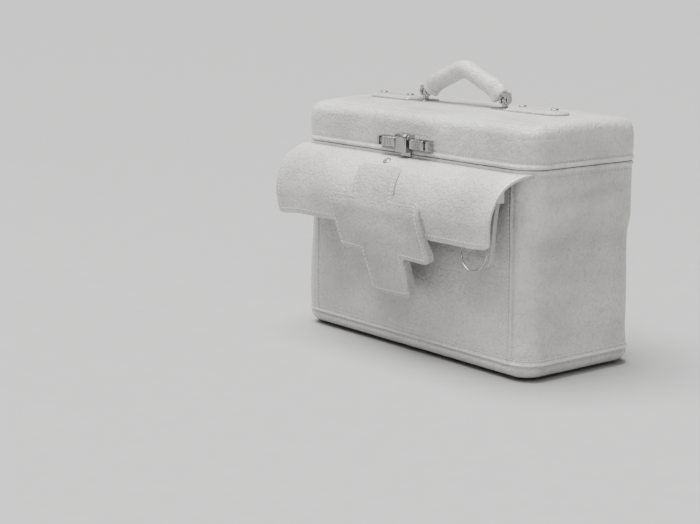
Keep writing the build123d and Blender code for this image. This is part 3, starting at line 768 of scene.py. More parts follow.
def build_body():
    """Leather body: one shell from the base to its turned rim, and back down inside."""
    top = WALL_TOP / MM
    seam = BASE_SEAM_Z / MM
    rings = flat_rings(BASE_Z, 84, 66, 48, 32, 22, 16)
    rings += [ring(inset, z, body_skin) for inset, z in round_edge(BASE_ROUND, 12, 0, BASE_Z)]
    walls = height_runs(
        (16.5, seam - 3, 0.6), (seam - 3, seam + 4, 0.5), (seam + 4, 40, 3),
        (40, top - 12, 4.5), (top - 12, top - 1, 0.6),
    )
    rings += [ring(0, z, body_skin) for z in walls]
    rings.append(ring(0.25 * MM, WALL_TOP - 0.5 * MM, body_skin))
    for inset, drop in ((0.8 * MM, 0.1 * MM), (2.0 * MM, 0.1 * MM), (LEATHER, 0.6 * MM)):
        rings.append(ring(inset, WALL_TOP - drop, straight))
    inner = height_runs((16, 40, 6), (40, top - 9, 9))[::-1]
    rings += [ring(LEATHER, z, sag) for z in inner]
    inner_round = round_edge(BASE_ROUND - LEATHER, 6, LEATHER, BASE_Z + LEATHER)
    rings += [ring(inset, z, straight) for inset, z in reversed(inner_round)]
    rings += flat_rings(BASE_Z + LEATHER, 16, 32, 84)
    body = mark_wear_and_shade(loft("body_leather", rings))
    nodes = ("front_panel", "back_panel", "left_gusset", "right_gusset", "base_panel")
    return finish_piece(body, "bag_body", leather, "leather", *nodes)


def build_body_lining():
    """Woven lining that follows the leather, with a bound top edge under the rim frame."""
    low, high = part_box("body_lining")

    def hemmed(x, y, nx, ny, z):
        return sag(x, y, nx, ny, z) - 0.5 * MM * hump(z, high.z - 5 * MM, 3 * MM)

    heights = np.linspace(low.z + 14 * MM, high.z - 0.5 * MM, 34)
    outside = flat_rings(low.z, 84, 40, 20)
    outside += [ring(inset, z, sag) for inset, z in round_edge(9 * MM, 6, LINING_GAP, low.z)]
    outside += [ring(LINING_GAP, z, sag) for z in heights]
    outside.append(ring(LINING_GAP + 0.4 * MM, high.z, sag))
    inner_in = LINING_GAP + LINING
    inside = [ring(inner_in, z, hemmed) for z in heights[::-1]]
    lower = round_edge(8.2 * MM, 6, inner_in, low.z + LINING)
    inside += [ring(inset, z, sag) for inset, z in reversed(lower)]
    inside += flat_rings(low.z + LINING, 20, 40, 84)
    lining = mark_wear_and_shade(loft("body_lining_cloth", outside + inside), 0.5)
    return finish_piece(lining, "bag_body", lining_fabric, "fabric_lining", "body_lining")


# ---------------- lid

def crown(y):
    """Height of the lid's top at a place from front to back."""
    return LID_TOP - CROWN_RADIUS + np.sqrt(CROWN_RADIUS**2 - y**2)


def near_ends(x):
    """0 over the bag's middle, rising to 1 at its ends."""
    return smooth((np.abs(x) - 150 * MM) / (50 * MM))


def lid_top(x, y, inset, drop):
    """Height of the padded top: it dips towards the ends and has a sewn channel round it."""
    channel = 0.8 * MM * hump(inset, LID_SEAM_INSET, 1.6 * MM)
    soft = 0.5 * MM * np.sin(x * 37 + 1.0) * np.sin(y * 45 + 0.5) * smooth(np.abs(y) / (60 * MM))
    return crown(y) - drop - 1.5 * MM * near_ends(x) - channel + soft


def top_ring(inset, drop):
    """Ring on the lid's top at an inset, lowered by drop."""
    edge, _ = plan(inset)
    return np.column_stack([edge, lid_top(edge[:, 0], edge[:, 1], inset, drop)])


def lid_skin(x, y, nx, ny, z):
    """The lid's band: a rolled bead at its lower edge and a soft belly."""
    up = z - LID_Z
    bead = 1.8 * hump(up, 2.8 * MM, 2.3 * MM) - 0.7 * hump(up, 7.0 * MM, 1.4 * MM)
    belly = 0.9 * np.sin(np.clip(up / (40 * MM), 0, 1) * math.pi)
    dents = np.sin(x * 24 + 1.3) * np.sin(z * 60 + y * 19) * window(up, 10 * MM, 34 * MM, 6 * MM)
    free = hardware_gap(x, ny, CLASP_ROOM, 8 * MM, LID_LEAF_ROOM, 6 * MM)
    return (bead * hardware_gap(x, ny) + (belly + 0.4 * dents) * free) * MM


def lid_rings(thick, insets):
    """Rings of the lid's outer skin (thick 0) or inner skin, from the rim to the middle."""
    outer = thick == 0
    radius = LID_ROUND - thick
    edge, _ = plan(LID_ROUND)
    edge_z = lid_top(edge[:, 0], edge[:, 1], LID_ROUND, thick) - radius
    lowest = LID_Z + (1.0 * MM if outer else 0.6 * MM)
    band = np.arange(lowest, LID_Z + 10 * MM, 0.7 * MM if outer else 5 * MM)
    upper = np.linspace(LID_Z + 11 * MM, LID_Z + 32 * MM, 8)
    rings = [ring(thick, z, lid_skin if outer else straight) for z in np.concatenate([band, upper])]
    for turn in np.linspace(0, math.pi / 2, 12):
        edge, _ = plan(thick + radius * (1 - math.cos(turn)))
        rings.append(np.column_stack([edge, edge_z + radius * math.sin(turn)]))
    return rings + [top_ring(inset, thick) for inset in insets]


def build_lid():
    """Leather lid: one padded shell, its lower edge turned in."""
    insets = np.array([15.5, 17, 18, 19, 20, 21, 22.5, 25, 30, 36, 43, 50, 57, 64, 71, 78, 84]) * MM
    inner = lid_rings(LEATHER, insets[[0, 8, 12, 16]])
    rim = [
        ring(2.0 * MM, LID_Z + 0.1 * MM, straight),
        ring(0.8 * MM, LID_Z + 0.1 * MM, straight),
        ring(0.2 * MM, LID_Z + 0.4 * MM, lid_skin),
    ]
    lid = mark_wear_and_shade(loft("lid_leather", inner[::-1] + rim + lid_rings(0.0, insets)))
    return finish_piece(lid, "lid", leather, "leather", "lid_shell")


def build_lid_lining():
    """Woven lining inside the lid, puffed a little towards the bag."""
    low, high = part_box("lid_lining")
    shoulder = high.z - 11 * MM

    def wall_rings(inset, radius):
        rings = [ring(inset, z, straight) for z in np.linspace(low.z, shoulder, 6)]
        for a in np.linspace(0, math.pi / 2, 7)[1:]:
            rings.append(ring(inset + radius * (1 - math.cos(a)), shoulder + radius * math.sin(a), straight))
        return rings

    outside = wall_rings(LINING_GAP, 11 * MM)
    outside += flat_rings(high.z, 30, 84)
    inside = wall_rings(LINING_GAP + LINING, 10.2 * MM)
    for inset in (22, 30, 40, 52, 66, 78, 84):
        puff = 0.9 * MM * math.sin(min(1, (inset - 14) / 66) * math.pi)
        inside.append(ring(inset * MM, high.z - LINING - puff, straight))
    lining = mark_wear_and_shade(loft("lid_lining_cloth", outside[::-1] + inside), 0.5)
    return finish_piece(lining, "lid", lining_fabric, "fabric_lining", "lid_lining")


# ---------------- flap and tongue

FLAP_HALF = FLAP_HIGH.x
FLAP_T = 3.5 * MM
FLAP_TOP_Z = FLAP_HIGH.z - FLAP_T / 2
FLAP_OUT = FRONT_Y - 1 * MM - FLAP_LOW.y
FLAP_FALL = 55 * MM
FLAP_CENTRE = np.array((FRONT_Y - 1 * MM, FLAP_HIGH.z - FLAP_FALL))
FLAP_END_IN = 4 * MM
ROOT_DROP = 7 * MM
FLAP_NARROW = 17 * MM
FLAP_SIDE = 1.45 * MM
FLAP_DOME = 0.25 * MM
FLAP_SEAM = 6 * MM


def soften(points, passes, keep):
    """Round the kinks of a dense polyline, leaving its first points and its ends."""
    points = points.copy()
    for _ in range(passes):
        points[keep:-1] = (points[keep - 1:-2] + 2 * points[keep:-1] + points[keep + 1:]) / 4
    return points


def flap_line():
    """Section of the flap in the YZ plane, from its sewn root to its lower edge."""
    root_y = FRONT_Y - 1.3 * MM
    fold_r = 1.2 * MM
    fold_z = FLAP_TOP_Z - fold_r
    strip = [(root_y, z) for z in np.linspace(FLAP_TOP_Z - ROOT_DROP, fold_z, 10)]
    turns = np.linspace(0.2, math.pi / 2, 6)
    fold = [(root_y - fold_r * (1 - math.cos(a)), fold_z + fold_r * math.sin(a)) for a in turns]
    centre_y, centre_z = FLAP_CENTRE
    out, fall = FLAP_OUT - FLAP_T / 2, FLAP_FALL - FLAP_T / 2
    start = math.asin((centre_y - (root_y - fold_r - 0.4 * MM)) / out)
    turns = np.linspace(start, math.pi / 2, 60)
    arc = [(centre_y - out * math.sin(a), centre_z + fall * math.cos(a)) for a in turns]
    skirt = (centre_y - out + FLAP_END_IN, FLAP_LOW.z)
    return soften(even(np.array(strip + fold + arc + [skirt])), passes=40, keep=24)


def tongue_line():
    """Middle of the tongue's section and its half-thickness, from its top to its lower end."""
    start = math.acos((TONGUE_HIGH.z - FLAP_CENTRE[1]) / FLAP_FALL)
    arc = []
    for a in np.linspace(start, math.pi / 2, 50):
        share = (a - start) / (math.pi / 2 - start)
        half = (0.75 + 0.35 * share + 1.6 * share**5) * MM
        lift = half - 0.2 * MM
        y = FLAP_CENTRE[0] - (FLAP_OUT + lift) * math.sin(a)
        arc.append((y, FLAP_CENTRE[1] + (FLAP_FALL + lift) * math.cos(a), half))
    hang = [
        (FRONT_Y - 45.0 * MM, 150 * MM, 4.0 * MM),
        (FRONT_Y - 38.6 * MM, 124 * MM, 6.0 * MM),
        (FRONT_Y - 31.0 * MM, 100 * MM, 6.3 * MM),
        (FRONT_Y - 23.6 * MM, TONGUE_LOW.z - 2 * MM, 6.2 * MM),
    ]
    return soften(even(np.array(arc + hang)), passes=60, keep=2)


FLAP_LINE = flap_line()
FLAP_RUN = arc_length(FLAP_LINE)[-1]
TONGUE_LINE = tongue_line()
TONGUE_LENGTH = arc_length(TONGUE_LINE[:, :2])


def on_line(line, s):
    """Place and outward normal in the YZ plane at a length along a section line."""
    line = line[:, :2]
    length = arc_length(line)
    tangent = np.gradient(line, length, axis=0)
    normal = unit(np.column_stack([-tangent[:, 1], tangent[:, 0]]))
    normal *= -1 if normal[-1, 0] > 0 else 1
    return at_length(s, length, line), at_length(s, length, normal)


def length_at(line, z):
    """Length along a section line at which it comes down to height z."""
    top = int(np.argmax(line[:, 1]))
    length = arc_length(line[:, :2])
    return float(np.interp(-z, -line[top:, 1], length[top:]))


def corner_drop(x):
    """How far the body's corner falls back from its front face at x."""
    over = np.clip(np.abs(x) - FLAT_X, 0, CORNER * 0.97)
    return CORNER - np.sqrt(CORNER**2 - over**2)


def flap_wave(x, s):
    """How far the flap's leather waves in and out, more towards its lower edge."""
    share = smooth((s - ROOT_DROP) / FLAP_RUN)
    wave = 0.9 * np.sin(x * 26 + 0.8) + 0.6 * np.sin(x * 61 + s * 30)
    wave += 0.7 * np.sin(x * 44 + 2.0) * np.sin(s * 70)
    return wave * share * MM


def flap_place(x, s, height):
    """Carry the flap's pattern into space."""
    share = smooth((s - ROOT_DROP) / FLAP_RUN)
    place, facing = on_line(FLAP_LINE, s)
    thin = 0.55 + 0.45 * smooth((s - 6 * MM) / (10 * MM))
    out = height * thin + flap_wave(x, s)
    y = place[:, 0] + facing[:, 0] * out + corner_drop(x) * (1 - smooth((s - 2 * MM) / (42 * MM)))
    z = place[:, 1] + facing[:, 1] * out + 4 * MM * near_ends(x) * share * np.sin(x * 9)
    return np.column_stack([x, y, z])


def flap_corners():
    """Corners of the flap's pattern, anticlockwise; the right side narrows downwards."""
    right_end, left_end = FLAP_HALF - FLAP_NARROW, -FLAP_HALF + 1 * MM
    return [(-FLAP_HALF, 0), (FLAP_HALF, 0), (right_end, FLAP_RUN), (left_end, FLAP_RUN)]


def build_flap():
    """Leather flap, sewn to the body under the lid and curving out and down."""
    outline = rounded(flap_corners(), [2 * MM, 2 * MM, 7 * MM, 7 * MM])
    flap = pattern_piece("flap_leather", outline, 3.4 * MM, FLAP_SIDE, FLAP_DOME, flap_place, edge=1.1 * MM)
    mark_wear_and_shade(flap)
    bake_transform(flap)
    return finish_piece(flap, None, leather, "leather", "flap")


TONGUE_HALF = 37 * MM
TONGUE_END_HALF = 33 * MM
ARM_HALF = TONGUE_HIGH.x
ARM_TOP_Z = 190 * MM
ARM_BOTTOM_Z = 124 * MM
TONGUE_TOP_SHIFT = -12 * MM
TONGUE_END_SHIFT = 8 * MM
TONGUE_PAD = 3.9 * MM
TONGUE_SIDE = 0.82 * TONGUE_PAD
TONGUE_DOME = 0.22 * TONGUE_PAD
TONGUE_SEAM = 5 * MM
TONGUE_RADII = [r * MM for r in (9, 5, 8, 8, 5, 8, 8, 5, 8, 8, 5, 9)]


def tongue_corners():
    """Corners of the plus-shaped tongue, anticlockwise in (x, length)."""
    top, low = length_at(TONGUE_LINE, ARM_TOP_Z), length_at(TONGUE_LINE, ARM_BOTTOM_Z)
    right = [(TONGUE_HALF, 0), (TONGUE_HALF, top), (ARM_HALF, top), (ARM_HALF, low), (TONGUE_HALF, low)]
    right.append((TONGUE_END_HALF, TONGUE_LENGTH[-1]))
    return right + [(-x, s) for x, s in reversed(right)]


def tongue_place(x, s, height):
    """Carry the tongue's pattern into space."""
    place, facing = on_line(TONGUE_LINE, s)
    start = length_at(FLAP_LINE, TONGUE_HIGH.z)
    shift = TONGUE_END_SHIFT - TONGUE_TOP_SHIFT
    x = x + TONGUE_TOP_SHIFT + shift * smooth(s / (0.8 * TONGUE_LENGTH[-1]))
    out = height / TONGUE_PAD * np.interp(s, TONGUE_LENGTH, TONGUE_LINE[:, 2])
    out = out + flap_wave(x, np.minimum(s + start, FLAP_RUN))
    arm = smooth((np.abs(x) - TONGUE_HALF) / (ARM_HALF - TONGUE_HALF))
    y = place[:, 0] + facing[:, 0] * out + 2.5 * MM * arm * smooth((s - 60 * MM) / (30 * MM))
    z = place[:, 1] + facing[:, 1] * out - 1.5 * MM * arm * smooth((s - 40 * MM) / (30 * MM))
    return np.column_stack([x, y, z])


def build_tongue():
    """Padded plus-shaped tongue with rounded edges."""
    tongue = pattern_piece(
        "tongue_leather", rounded(tongue_corners(), TONGUE_RADII), 2.9 * MM, TONGUE_SIDE, TONGUE_DOME,
        tongue_place, edge=0.62 * TONGUE_PAD, segments=4,
    )
    mark_wear_and_shade(tongue)
    return finish_piece(tongue, "flap", trim_leather, "leather", "flap_tongue")


def build_flap_stitches():
    """Seams along the flap's free edges and round the tongue."""
    free_from = 15 * MM
    line = rounded(inset_corners(flap_corners(), FLAP_SEAM), [2 * MM, 2 * MM, 5 * MM, 5 * MM])
    free = np.flatnonzero(line[:, 1] > free_from)
    start = free[np.argmax(np.diff(np.append(free, free[0] + len(line))))] + 1
    line = np.roll(line, -(start % len(line)), axis=0)
    line = line[line[:, 1] > free_from]
    radii = [max(radius - TONGUE_SEAM, 2 * MM) for radius in TONGUE_RADII]
    around = rounded(inset_corners(tongue_corners(), TONGUE_SEAM), radii)
    flap_high = dome_height(FLAP_SIDE, FLAP_DOME, FLAP_SEAM)
    tongue_high = dome_height(TONGUE_SIDE, TONGUE_DOME, TONGUE_SEAM)
    flap_run = surface_run(flap_place, line, flap_high, False)
    sew("flap_stitches", [flap_run, surface_run(tongue_place, around, tongue_high, True)], "flap")


# ---------------- handle and its tabs

GRIP_WIDE = 11 * MM
GRIP_THICK = 9 * MM
GRIP_SEAM = 0.62
UNSEWN_POINTS = 8
GRIP_LOW, GRIP_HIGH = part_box("handle_grip")


def grip_line():
    """Middle of the grip in the XZ plane: a pointed arch with steep legs."""
    foot_x = GRIP_HIGH.x - 7.6 * MM
    foot_z = GRIP_LOW.z + 1.2 * MM
    apex_z = GRIP_HIGH.z - 9.4 * MM
    knee, shoulder = (foot_x - 3.2 * MM, foot_z + 5 * MM), (foot_x - 9.5 * MM, foot_z + 11 * MM)
    half = [(foot_x, foot_z), knee, shoulder, (0, apex_z)]
    corners = [(-x, z) for x, z in half[:-1]] + [half[-1]] + half[-2::-1]
    line = soften(even(np.array(corners), 1.5 * MM), passes=30, keep=1)
    return np.column_stack([line[:, 0], np.zeros(len(line)), line[:, 1]])


def grip_section(angle):
    """Round section with a raised sewn edge along its underside."""
    under = np.angle(np.exp(1j * (angle + math.pi / 2)))
    return 1 + 0.10 * hump(under, 0, 0.30) - 0.045 * hump(np.abs(under), GRIP_SEAM, 0.12)


def build_grip():
    """Leather grip, sewn underneath and gathered into thick heels beside the metal eyes."""
    line = grip_line()
    length = arc_length(line)
    share = length / length[-1]
    ends = np.minimum(share, 1 - share) * length[-1]
    middle = smooth(ends / (34 * MM))
    collar = 0.05 * window(ends, 3.5 * MM, 10 * MM, 1.2 * MM)
    creases = 0.012 * np.sin(ends * 420) * window(ends, 14 * MM, 46 * MM, 10 * MM)
    tip = np.sqrt(np.clip(ends / (3.4 * MM), 0.10, 1))
    wide = GRIP_WIDE * (0.80 + 0.20 * middle + collar + creases) * tip
    thick = GRIP_THICK * (1.28 - 0.13 * middle + collar + creases) * tip
    grip = mark_wear_and_shade(tube("grip_leather", line, (0, 1, 0), wide, thick, grip_section, 56), 1.3)
    finish_piece(grip, "handle", grip_leather, "handle_leather", "handle_grip")
    down = np.cross(unit(np.gradient(line, axis=0)), (0, 1.0, 0))
    down *= np.where(down[:, 2] > 0, -1, 1)[:, None]
    sewn = slice(UNSEWN_POINTS, -UNSEWN_POINTS)
    runs = []
    for side in (-1, 1):
        out = down * math.cos(GRIP_SEAM) + (0, side * math.sin(GRIP_SEAM), 0)
        reach = down * (thick * math.cos(GRIP_SEAM))[:, None]
        reach[:, 1] = side * wide * math.sin(GRIP_SEAM)
        runs.append(((line + reach * 0.965)[sewn], out[sewn], False))
    sew("grip_stitches", runs, "handle")


CHAPE_RADII = [3 * MM, 15 * MM, 15 * MM, 3 * MM]
CHAPE_HALF_T = 1.0 * MM
CHAPE_DOME = 3.1 * MM
CHAPE_SEAM = 3.2 * MM


def build_chape(side, node):
    """One domed tab; gives back its stitch run."""
    low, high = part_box("right_chape")

    def place(x, y, height):
        return np.column_stack([x * side, y, low.z + CHAPE_HALF_T + height])

    corners = rectangle(low.x, low.y, high.x, high.y)
    outline = rounded(corners, CHAPE_RADII)
    tab = pattern_piece(node + "_leather", outline, 2.2 * MM, CHAPE_HALF_T, CHAPE_DOME, place, 0.8 * MM)
    finish_piece(mark_wear_and_shade(tab), "lid", trim_leather, "leather_edge", node)
    line = rounded(inset_corners(corners, CHAPE_SEAM), [2 * MM, 12 * MM, 12 * MM, 2 * MM])
    return surface_run(place, line, dome_height(CHAPE_HALF_T, CHAPE_DOME, CHAPE_SEAM), True)


def build_chapes():
    """Leather tabs beside the handle, riveted and sewn to the lid."""
    runs = [build_chape(side, node) for side, node in ((-1, "left_chape"), (1, "right_chape"))]
    sew("chape_stitches", runs, "lid")


# ---------------- hanger strap

STRAP_LEAN = math.radians(8.0)
STRAP_EYE = 4.2 * MM
STRAP_PAD = 3.4 * MM
STRAP_SIDE = 0.80 * STRAP_PAD
STRAP_DOME = 0.2 * STRAP_PAD
STRAP_SEAM = 4 * MM
STRAP_RADII = [2 * MM, 2 * MM, 8 * MM, 8 * MM]


def build_hanger():
    """Thick sewn leather strap that turns on its pin and leans forward inside the flap."""
    low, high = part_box("hanger_strap")
    eye_y, eye_z = high.y - STRAP_EYE, high.z - STRAP_EYE
    plumb = (eye_z - low.z) / math.cos(STRAP_LEAN)
    down = np.array((-math.sin(STRAP_LEAN), -math.cos(STRAP_LEAN)))
    front = np.array((down[1], -down[0]))

    def place(x, s, height):
        out = height + 0.9 * MM * np.sin(np.clip(s / plumb, 0, 1) * math.pi * 1.5)
        y, z = eye_y + down[0] * s + front[0] * out, eye_z + down[1] * s + front[1] * out
        return np.column_stack([x, y, z])

    corners = rectangle(low.x + 0.3 * MM, -STRAP_EYE, high.x - 0.3 * MM, plumb - 0.4 * MM)
    strap = pattern_piece(
        "hanger_strap_leather", rounded(corners, STRAP_RADII), 2.2 * MM, STRAP_SIDE, STRAP_DOME, place,
        edge=0.7 * STRAP_PAD, segments=4,
    )
    finish_piece(mark_wear_and_shade(strap), "hanger", trim_leather, "leather_edge", "hanger_strap")
    edge = rounded(inset_corners(corners, STRAP_SEAM), 4 * MM)
    run = surface_run(place, edge, dome_height(STRAP_SIDE, STRAP_DOME, STRAP_SEAM), True)
    sew("hanger_stitches", [run], "hanger", 0.4 * MM, 3.6 * MM, 2.6 * MM)


# ---------------- pockets and welt

FLANGE = 5 * MM
SHOULDER = 9 * MM


def pouch(name, node, wall_y, skin, material, slot):
    """Pocket sewn to a wall by a flat flange, bellied in front and open at the top;
    gives back its stitch run."""
    low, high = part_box(node)
    outward = -1 if low.y < wall_y - 2 * MM else 1
    half = high.x
    us = np.unique(np.concatenate([np.linspace(-half, half, 90), half - FINE * 1.6, -half + FINE * 1.6]))
    zs = np.unique(np.concatenate([np.linspace(low.z, high.z, 34), low.z + FINE * 1.6, high.z - FINE]))
    u, z = np.meshgrid(us, zs, indexing="ij")
    across = smooth((half - FLANGE - np.abs(u)) / SHOULDER)
    along = smooth((z - low.z - FLANGE) / SHOULDER)
    rise = (z - low.z) / (high.z - low.z)
    belly = 0.86 + 0.14 * arch(u / half) * np.sin(rise * math.pi * 0.9)
    hem = 0.6 * MM * smooth((z - high.z + 9 * MM) / (1.5 * MM))
    ripple = 0.5 * MM * np.sin(u * 70 + z * 40)
    full = high.y - low.y - skin - 0.6 * MM
    depth = across * (along * (full * belly + ripple) + hem)
    points = np.stack([u, wall_y + outward * (skin + depth), z], axis=-1).reshape(-1, 3)
    rows = len(zs)
    starts = [i * rows + j for i in range(len(us) - 1) for j in range(rows - 1)]
    obj = make_object(name, points, [(a, a + rows, a + rows + 1, a + 1) for a in starts])
    solid = obj.modifiers.new("thickness", "SOLIDIFY")
    solid.thickness = skin * 0.92
    solid.offset = -1 if obj.data.polygons[0].normal.y * outward > 0 else 1
    apply_modifiers(obj)
    tidy_mesh(obj)
    finish_piece(mark_wear_and_shade(obj), "bag_body", material, slot, node)
    edge, bottom, top = half - FLANGE / 2, low.z + FLANGE / 2, high.z - 4 * MM
    route = [(-edge, height) for height in np.linspace(top, bottom, 30)]
    route += [(x, bottom) for x in np.linspace(-edge, edge, 80)[1:-1]]
    route += [(edge, height) for height in np.linspace(bottom, top, 30)]
    seam_y = wall_y + outward * (skin + 0.1 * MM)
    line = np.array([(x, seam_y, height) for x, height in route])
    return line, np.tile((0.0, float(outward), 0.0), (len(line), 1)), False


def build_pockets():
    """Leather pocket under the flap and a cloth pocket inside, with their seams."""
    front = pouch("front_pocket_leather", "front_pocket", FRONT_Y, 1.9 * MM, leather, "leather")
    wall = HALF_D - LINING_GAP - LINING
    inner = pouch("inner_pocket_cloth", "inner_pocket", wall, 1.1 * MM, lining_fabric, "fabric_lining")
    sew("pocket_stitches", [front, inner], "bag_body")


def build_welt():
    """Leather strip that covers the flap's sewn root."""
    low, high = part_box("flap_welt")

    def place(x, z, height):
        return np.column_stack([x, low.y + 0.75 * MM - height, z])

    outline = rounded(rectangle(low.x, low.z, high.x, high.z), 1.5 * MM)
    welt = pattern_piece("flap_welt_leather", outline, 1.2 * MM, 0.6 * MM, 0.1 * MM, place, 0.35 * MM)
    finish_piece(mark_wear_and_shade(welt), "bag_body", trim_leather, "leather_edge", "flap_welt")
    middle = (low.z + high.z) / 2
    line = np.array([(x, middle) for x in np.linspace(low.x + 3 * MM, high.x - 3 * MM, 120)])
    sew("flap_welt_stitches", [surface_run(place, line, 0.7 * MM, False)], "bag_body")


# ---------------- seams on the shell

def wall_run(x, ny, low, high):
    """Upright stitch run on the front or back wall beside a gusset seam."""
    z = np.linspace(low, high, 120)
    across = np.full_like(z, x)
    out = body_skin(across, np.full_like(z, ny * HALF_D), np.zeros_like(z), np.full_like(z, ny), z)
    points = np.column_stack([across, ny * (HALF_D + out), z])
    return points, np.tile((0.0, ny, 0.0), (len(z), 1)), False


def level_run(z, skin):
    """Stitch run right round the bag at a height."""
    points = ring(0, z, skin)
    _, normals = plan(0)
    return points, np.column_stack([normals, np.zeros(len(normals))]), True


def clear_runs(points, normals, clear):
    """Stitch runs along the stretches of a line that are clear of the metal."""
    cuts = np.flatnonzero(np.diff(clear.astype(int))) + 1
    parts = np.split(np.arange(len(points)), cuts)
    return [(points[part], normals[part], False) for part in parts if clear[part[0]] and len(part) > 3]


def build_shell_stitches():
    """Seams of the gussets, the base and the rim; the flap covers the rim in front."""
    runs = []
    beside, above = 4.6 * MM, 4.8 * MM
    for ny, top in ((-1.0, FLAP_TOP_Z), (1.0, WALL_TOP)):
        for side in (-1, 1):
            runs.append(wall_run(side * (FLAT_X - beside), ny, BASE_SEAM_Z + 9 * MM, top - 12 * MM))
    runs.append(level_run(BASE_SEAM_Z + above, body_skin))
    points, normals, _ = level_run(WALL_TOP - RIM_SEAM, body_skin)
    behind = np.flatnonzero(points[:, 1] > FRONT_Y + 14 * MM)
    gap = np.argmax(np.diff(np.append(behind, behind[0] + len(points))))
    behind = np.roll(behind, -(gap + 1))
    points, normals = points[behind], normals[behind]
    runs += clear_runs(points, normals, hardware_gap(points[:, 0], normals[:, 1]) > 0.5)
    sew("body_stitches", runs, "bag_body")


def build_lid_stitches():
    """Seam along the channel round the padded top, and above the lid's bead."""
    channel = top_ring(LID_SEAM_INSET, 0.0)
    runs = [(channel, np.tile((0.0, 0.0, 1.0), (len(channel), 1)), True)]
    points, normals, _ = level_run(LID_Z + RIM_SEAM, lid_skin)
    across = np.abs(points[:, 0])
    clasp = (normals[:, 1] < -0.5) & (across < CLASP_ROOM)
    leaves = (normals[:, 1] > 0.5) & (np.abs(across - HINGE_X) < LID_LEAF_ROOM - 1 * MM)
    clear = ~(clasp | leaves)
    start = int(np.flatnonzero(~clear)[0])
    runs += clear_runs(*(np.roll(rows, -start, axis=0) for rows in (points, normals, clear)))
    sew("lid_stitches", runs, "lid")


# ---------------- hardware and hidden pieces

# Radius of the rounded edges on each metal node, in millimetres
NICKEL_EDGE = {
    "base_studs": 0.4, "clasp_plate": 0.35, "hasp": 0.6, "left_slide": 0.4, "right_slide": 0.4,
    "catch_plate": 0.3, "clasp_rivets": 0.2, "hasp_pin": 0.2, "chape_rivets": 0.2, "flap_stud": 0.2,
    "left_handle_bracket": 0.4, "right_handle_bracket": 0.4, "handle_pins": 0.4, "handle_eyes": 0.5,
    "ring_keeper": 0.5, "key_ring": 0.0, "body_hinge_rivets": 0.2, "lid_hinge_rivets": 0.2,
}
STEEL_EDGE = {
    "body_hinge_leaves": 0.3, "lid_hinge_leaves": 0.3, "hinge_pins": 0.3, "rim_frame": 0.3, "lid_frame": 0.3,
    "strap_fitting": 0.3,
}
HIDDEN = {"base_board": board, "lid_board": board, "lid_padding": foam, "handle_core": cord_core}


def round_metal(node, radius):
    """Join a node's triangles into flat faces and round the edges between them."""
    weld = node.modifiers.new("weld", "WELD")
    weld.merge_threshold = 0.01 * MM
    flats = node.modifiers.new("flats", "DECIMATE")
    flats.decimate_type = "DISSOLVE"
    flats.angle_limit = math.radians(0.5)
    add_bevel(node, radius, segments=2, degrees=40).harden_normals = True


def dress_nodes():
    """Materials for the nodes that stay, and rounded edges on the metal ones."""
    for table, material in ((NICKEL_EDGE, nickel), (STEEL_EDGE, steel)):
        for name, radius in table.items():
            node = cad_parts[name]
            set_material(node, material)
            if radius:
                round_metal(node, radius * MM)
    for name, material in HIDDEN.items():
        set_material(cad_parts[name], material)


# ---------------- stage

CAMERA_AZIMUTH = math.radians(52.0)
CAMERA_RISE = math.radians(10.9)
CAMERA_AWAY = 1.926
AIM = Vector((0, 0, 0.140))
AIM_RIGHT = -0.1357
AIM_UP = -0.0422
LENS = 82.3
SENSOR = 36

FLOOR_SIZE = 60
FLOOR_LIGHT = (0.37, 0.37, 0.365)
FLOOR_DARK = (0.35, 0.35, 0.345)
SKY_COLOUR = (0.90, 0.91, 0.93, 1)
SKY_POWER = 0.32
LAMP_TARGET = Vector((0, 0, 0.15))
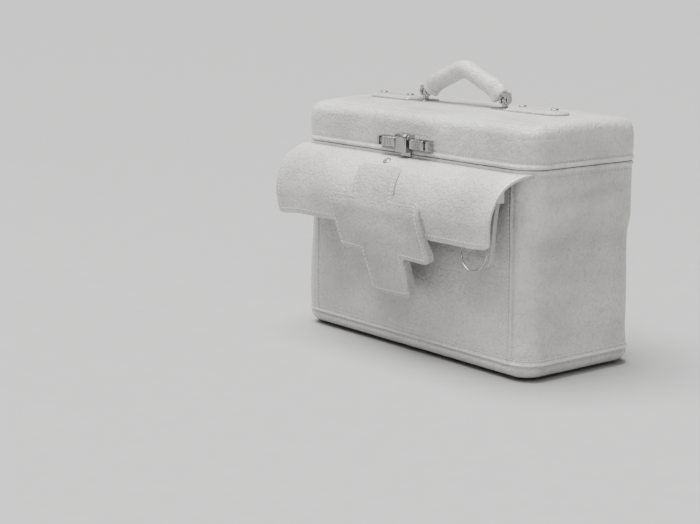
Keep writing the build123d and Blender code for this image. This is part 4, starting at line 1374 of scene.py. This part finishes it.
# Name, kind, place, size (radians for the sun), power
LAMPS = [
    ("key", "SUN", (-0.30, -0.25, 1.9), 0.8, 8.2),
    ("fill", "AREA", (2.0, -1.4, 2.0), 1.5, 27.0),
    ("side", "AREA", (-1.4, -2.0, 2.4), 1.2, 14.0),
]


def build_stage():
    """Pale floor, soft lights and the camera."""
    bpy.ops.mesh.primitive_plane_add(size=FLOOR_SIZE)
    floor = bpy.context.object
    floor.name = "floor"
    paper = grainy_material("floor_paper", FLOOR_LIGHT, FLOOR_DARK, 30.0, 0.85, 0.95, 0.1 * MM)
    floor.data.materials.append(paper)
    world = bpy.data.worlds.new("studio")
    world.use_nodes = True
    sky = world.node_tree.nodes["Background"]
    sky.inputs["Color"].default_value = SKY_COLOUR
    sky.inputs["Strength"].default_value = SKY_POWER
    bpy.context.scene.world = world
    for name, kind, place, size, power in LAMPS:
        light = bpy.data.lights.new(name, kind)
        if kind == "SUN":
            light.angle = size
        else:
            light.size = size
        light.energy = power
        lamp = bpy.data.objects.new(name, light)
        lamp.location = place
        lamp.rotation_euler = (LAMP_TARGET - Vector(place)).to_track_quat("-Z", "Y").to_euler()
        bpy.context.scene.collection.objects.link(lamp)
    back = Vector((
        math.sin(CAMERA_AZIMUTH) * math.cos(CAMERA_RISE),
        -math.cos(CAMERA_AZIMUTH) * math.cos(CAMERA_RISE),
        math.sin(CAMERA_RISE),
    ))
    right = Vector((math.cos(CAMERA_AZIMUTH), math.sin(CAMERA_AZIMUTH), 0))
    camera_data = bpy.data.cameras.new("camera")
    camera_data.lens = LENS
    camera_data.sensor_width = SENSOR
    camera = bpy.data.objects.new("camera", camera_data)
    camera.location = AIM + back * CAMERA_AWAY + right * AIM_RIGHT + back.cross(right) * AIM_UP
    camera.rotation_euler = back.to_track_quat("Z", "Y").to_euler()
    bpy.context.scene.collection.objects.link(camera)
    bpy.context.scene.camera = camera


build_stage()
build_body()
build_body_lining()
build_lid()
build_lid_lining()
build_flap()
build_tongue()
build_flap_stitches()
build_grip()
build_chapes()
build_hanger()
build_pockets()
build_welt()
build_shell_stitches()
build_lid_stitches()
dress_nodes()
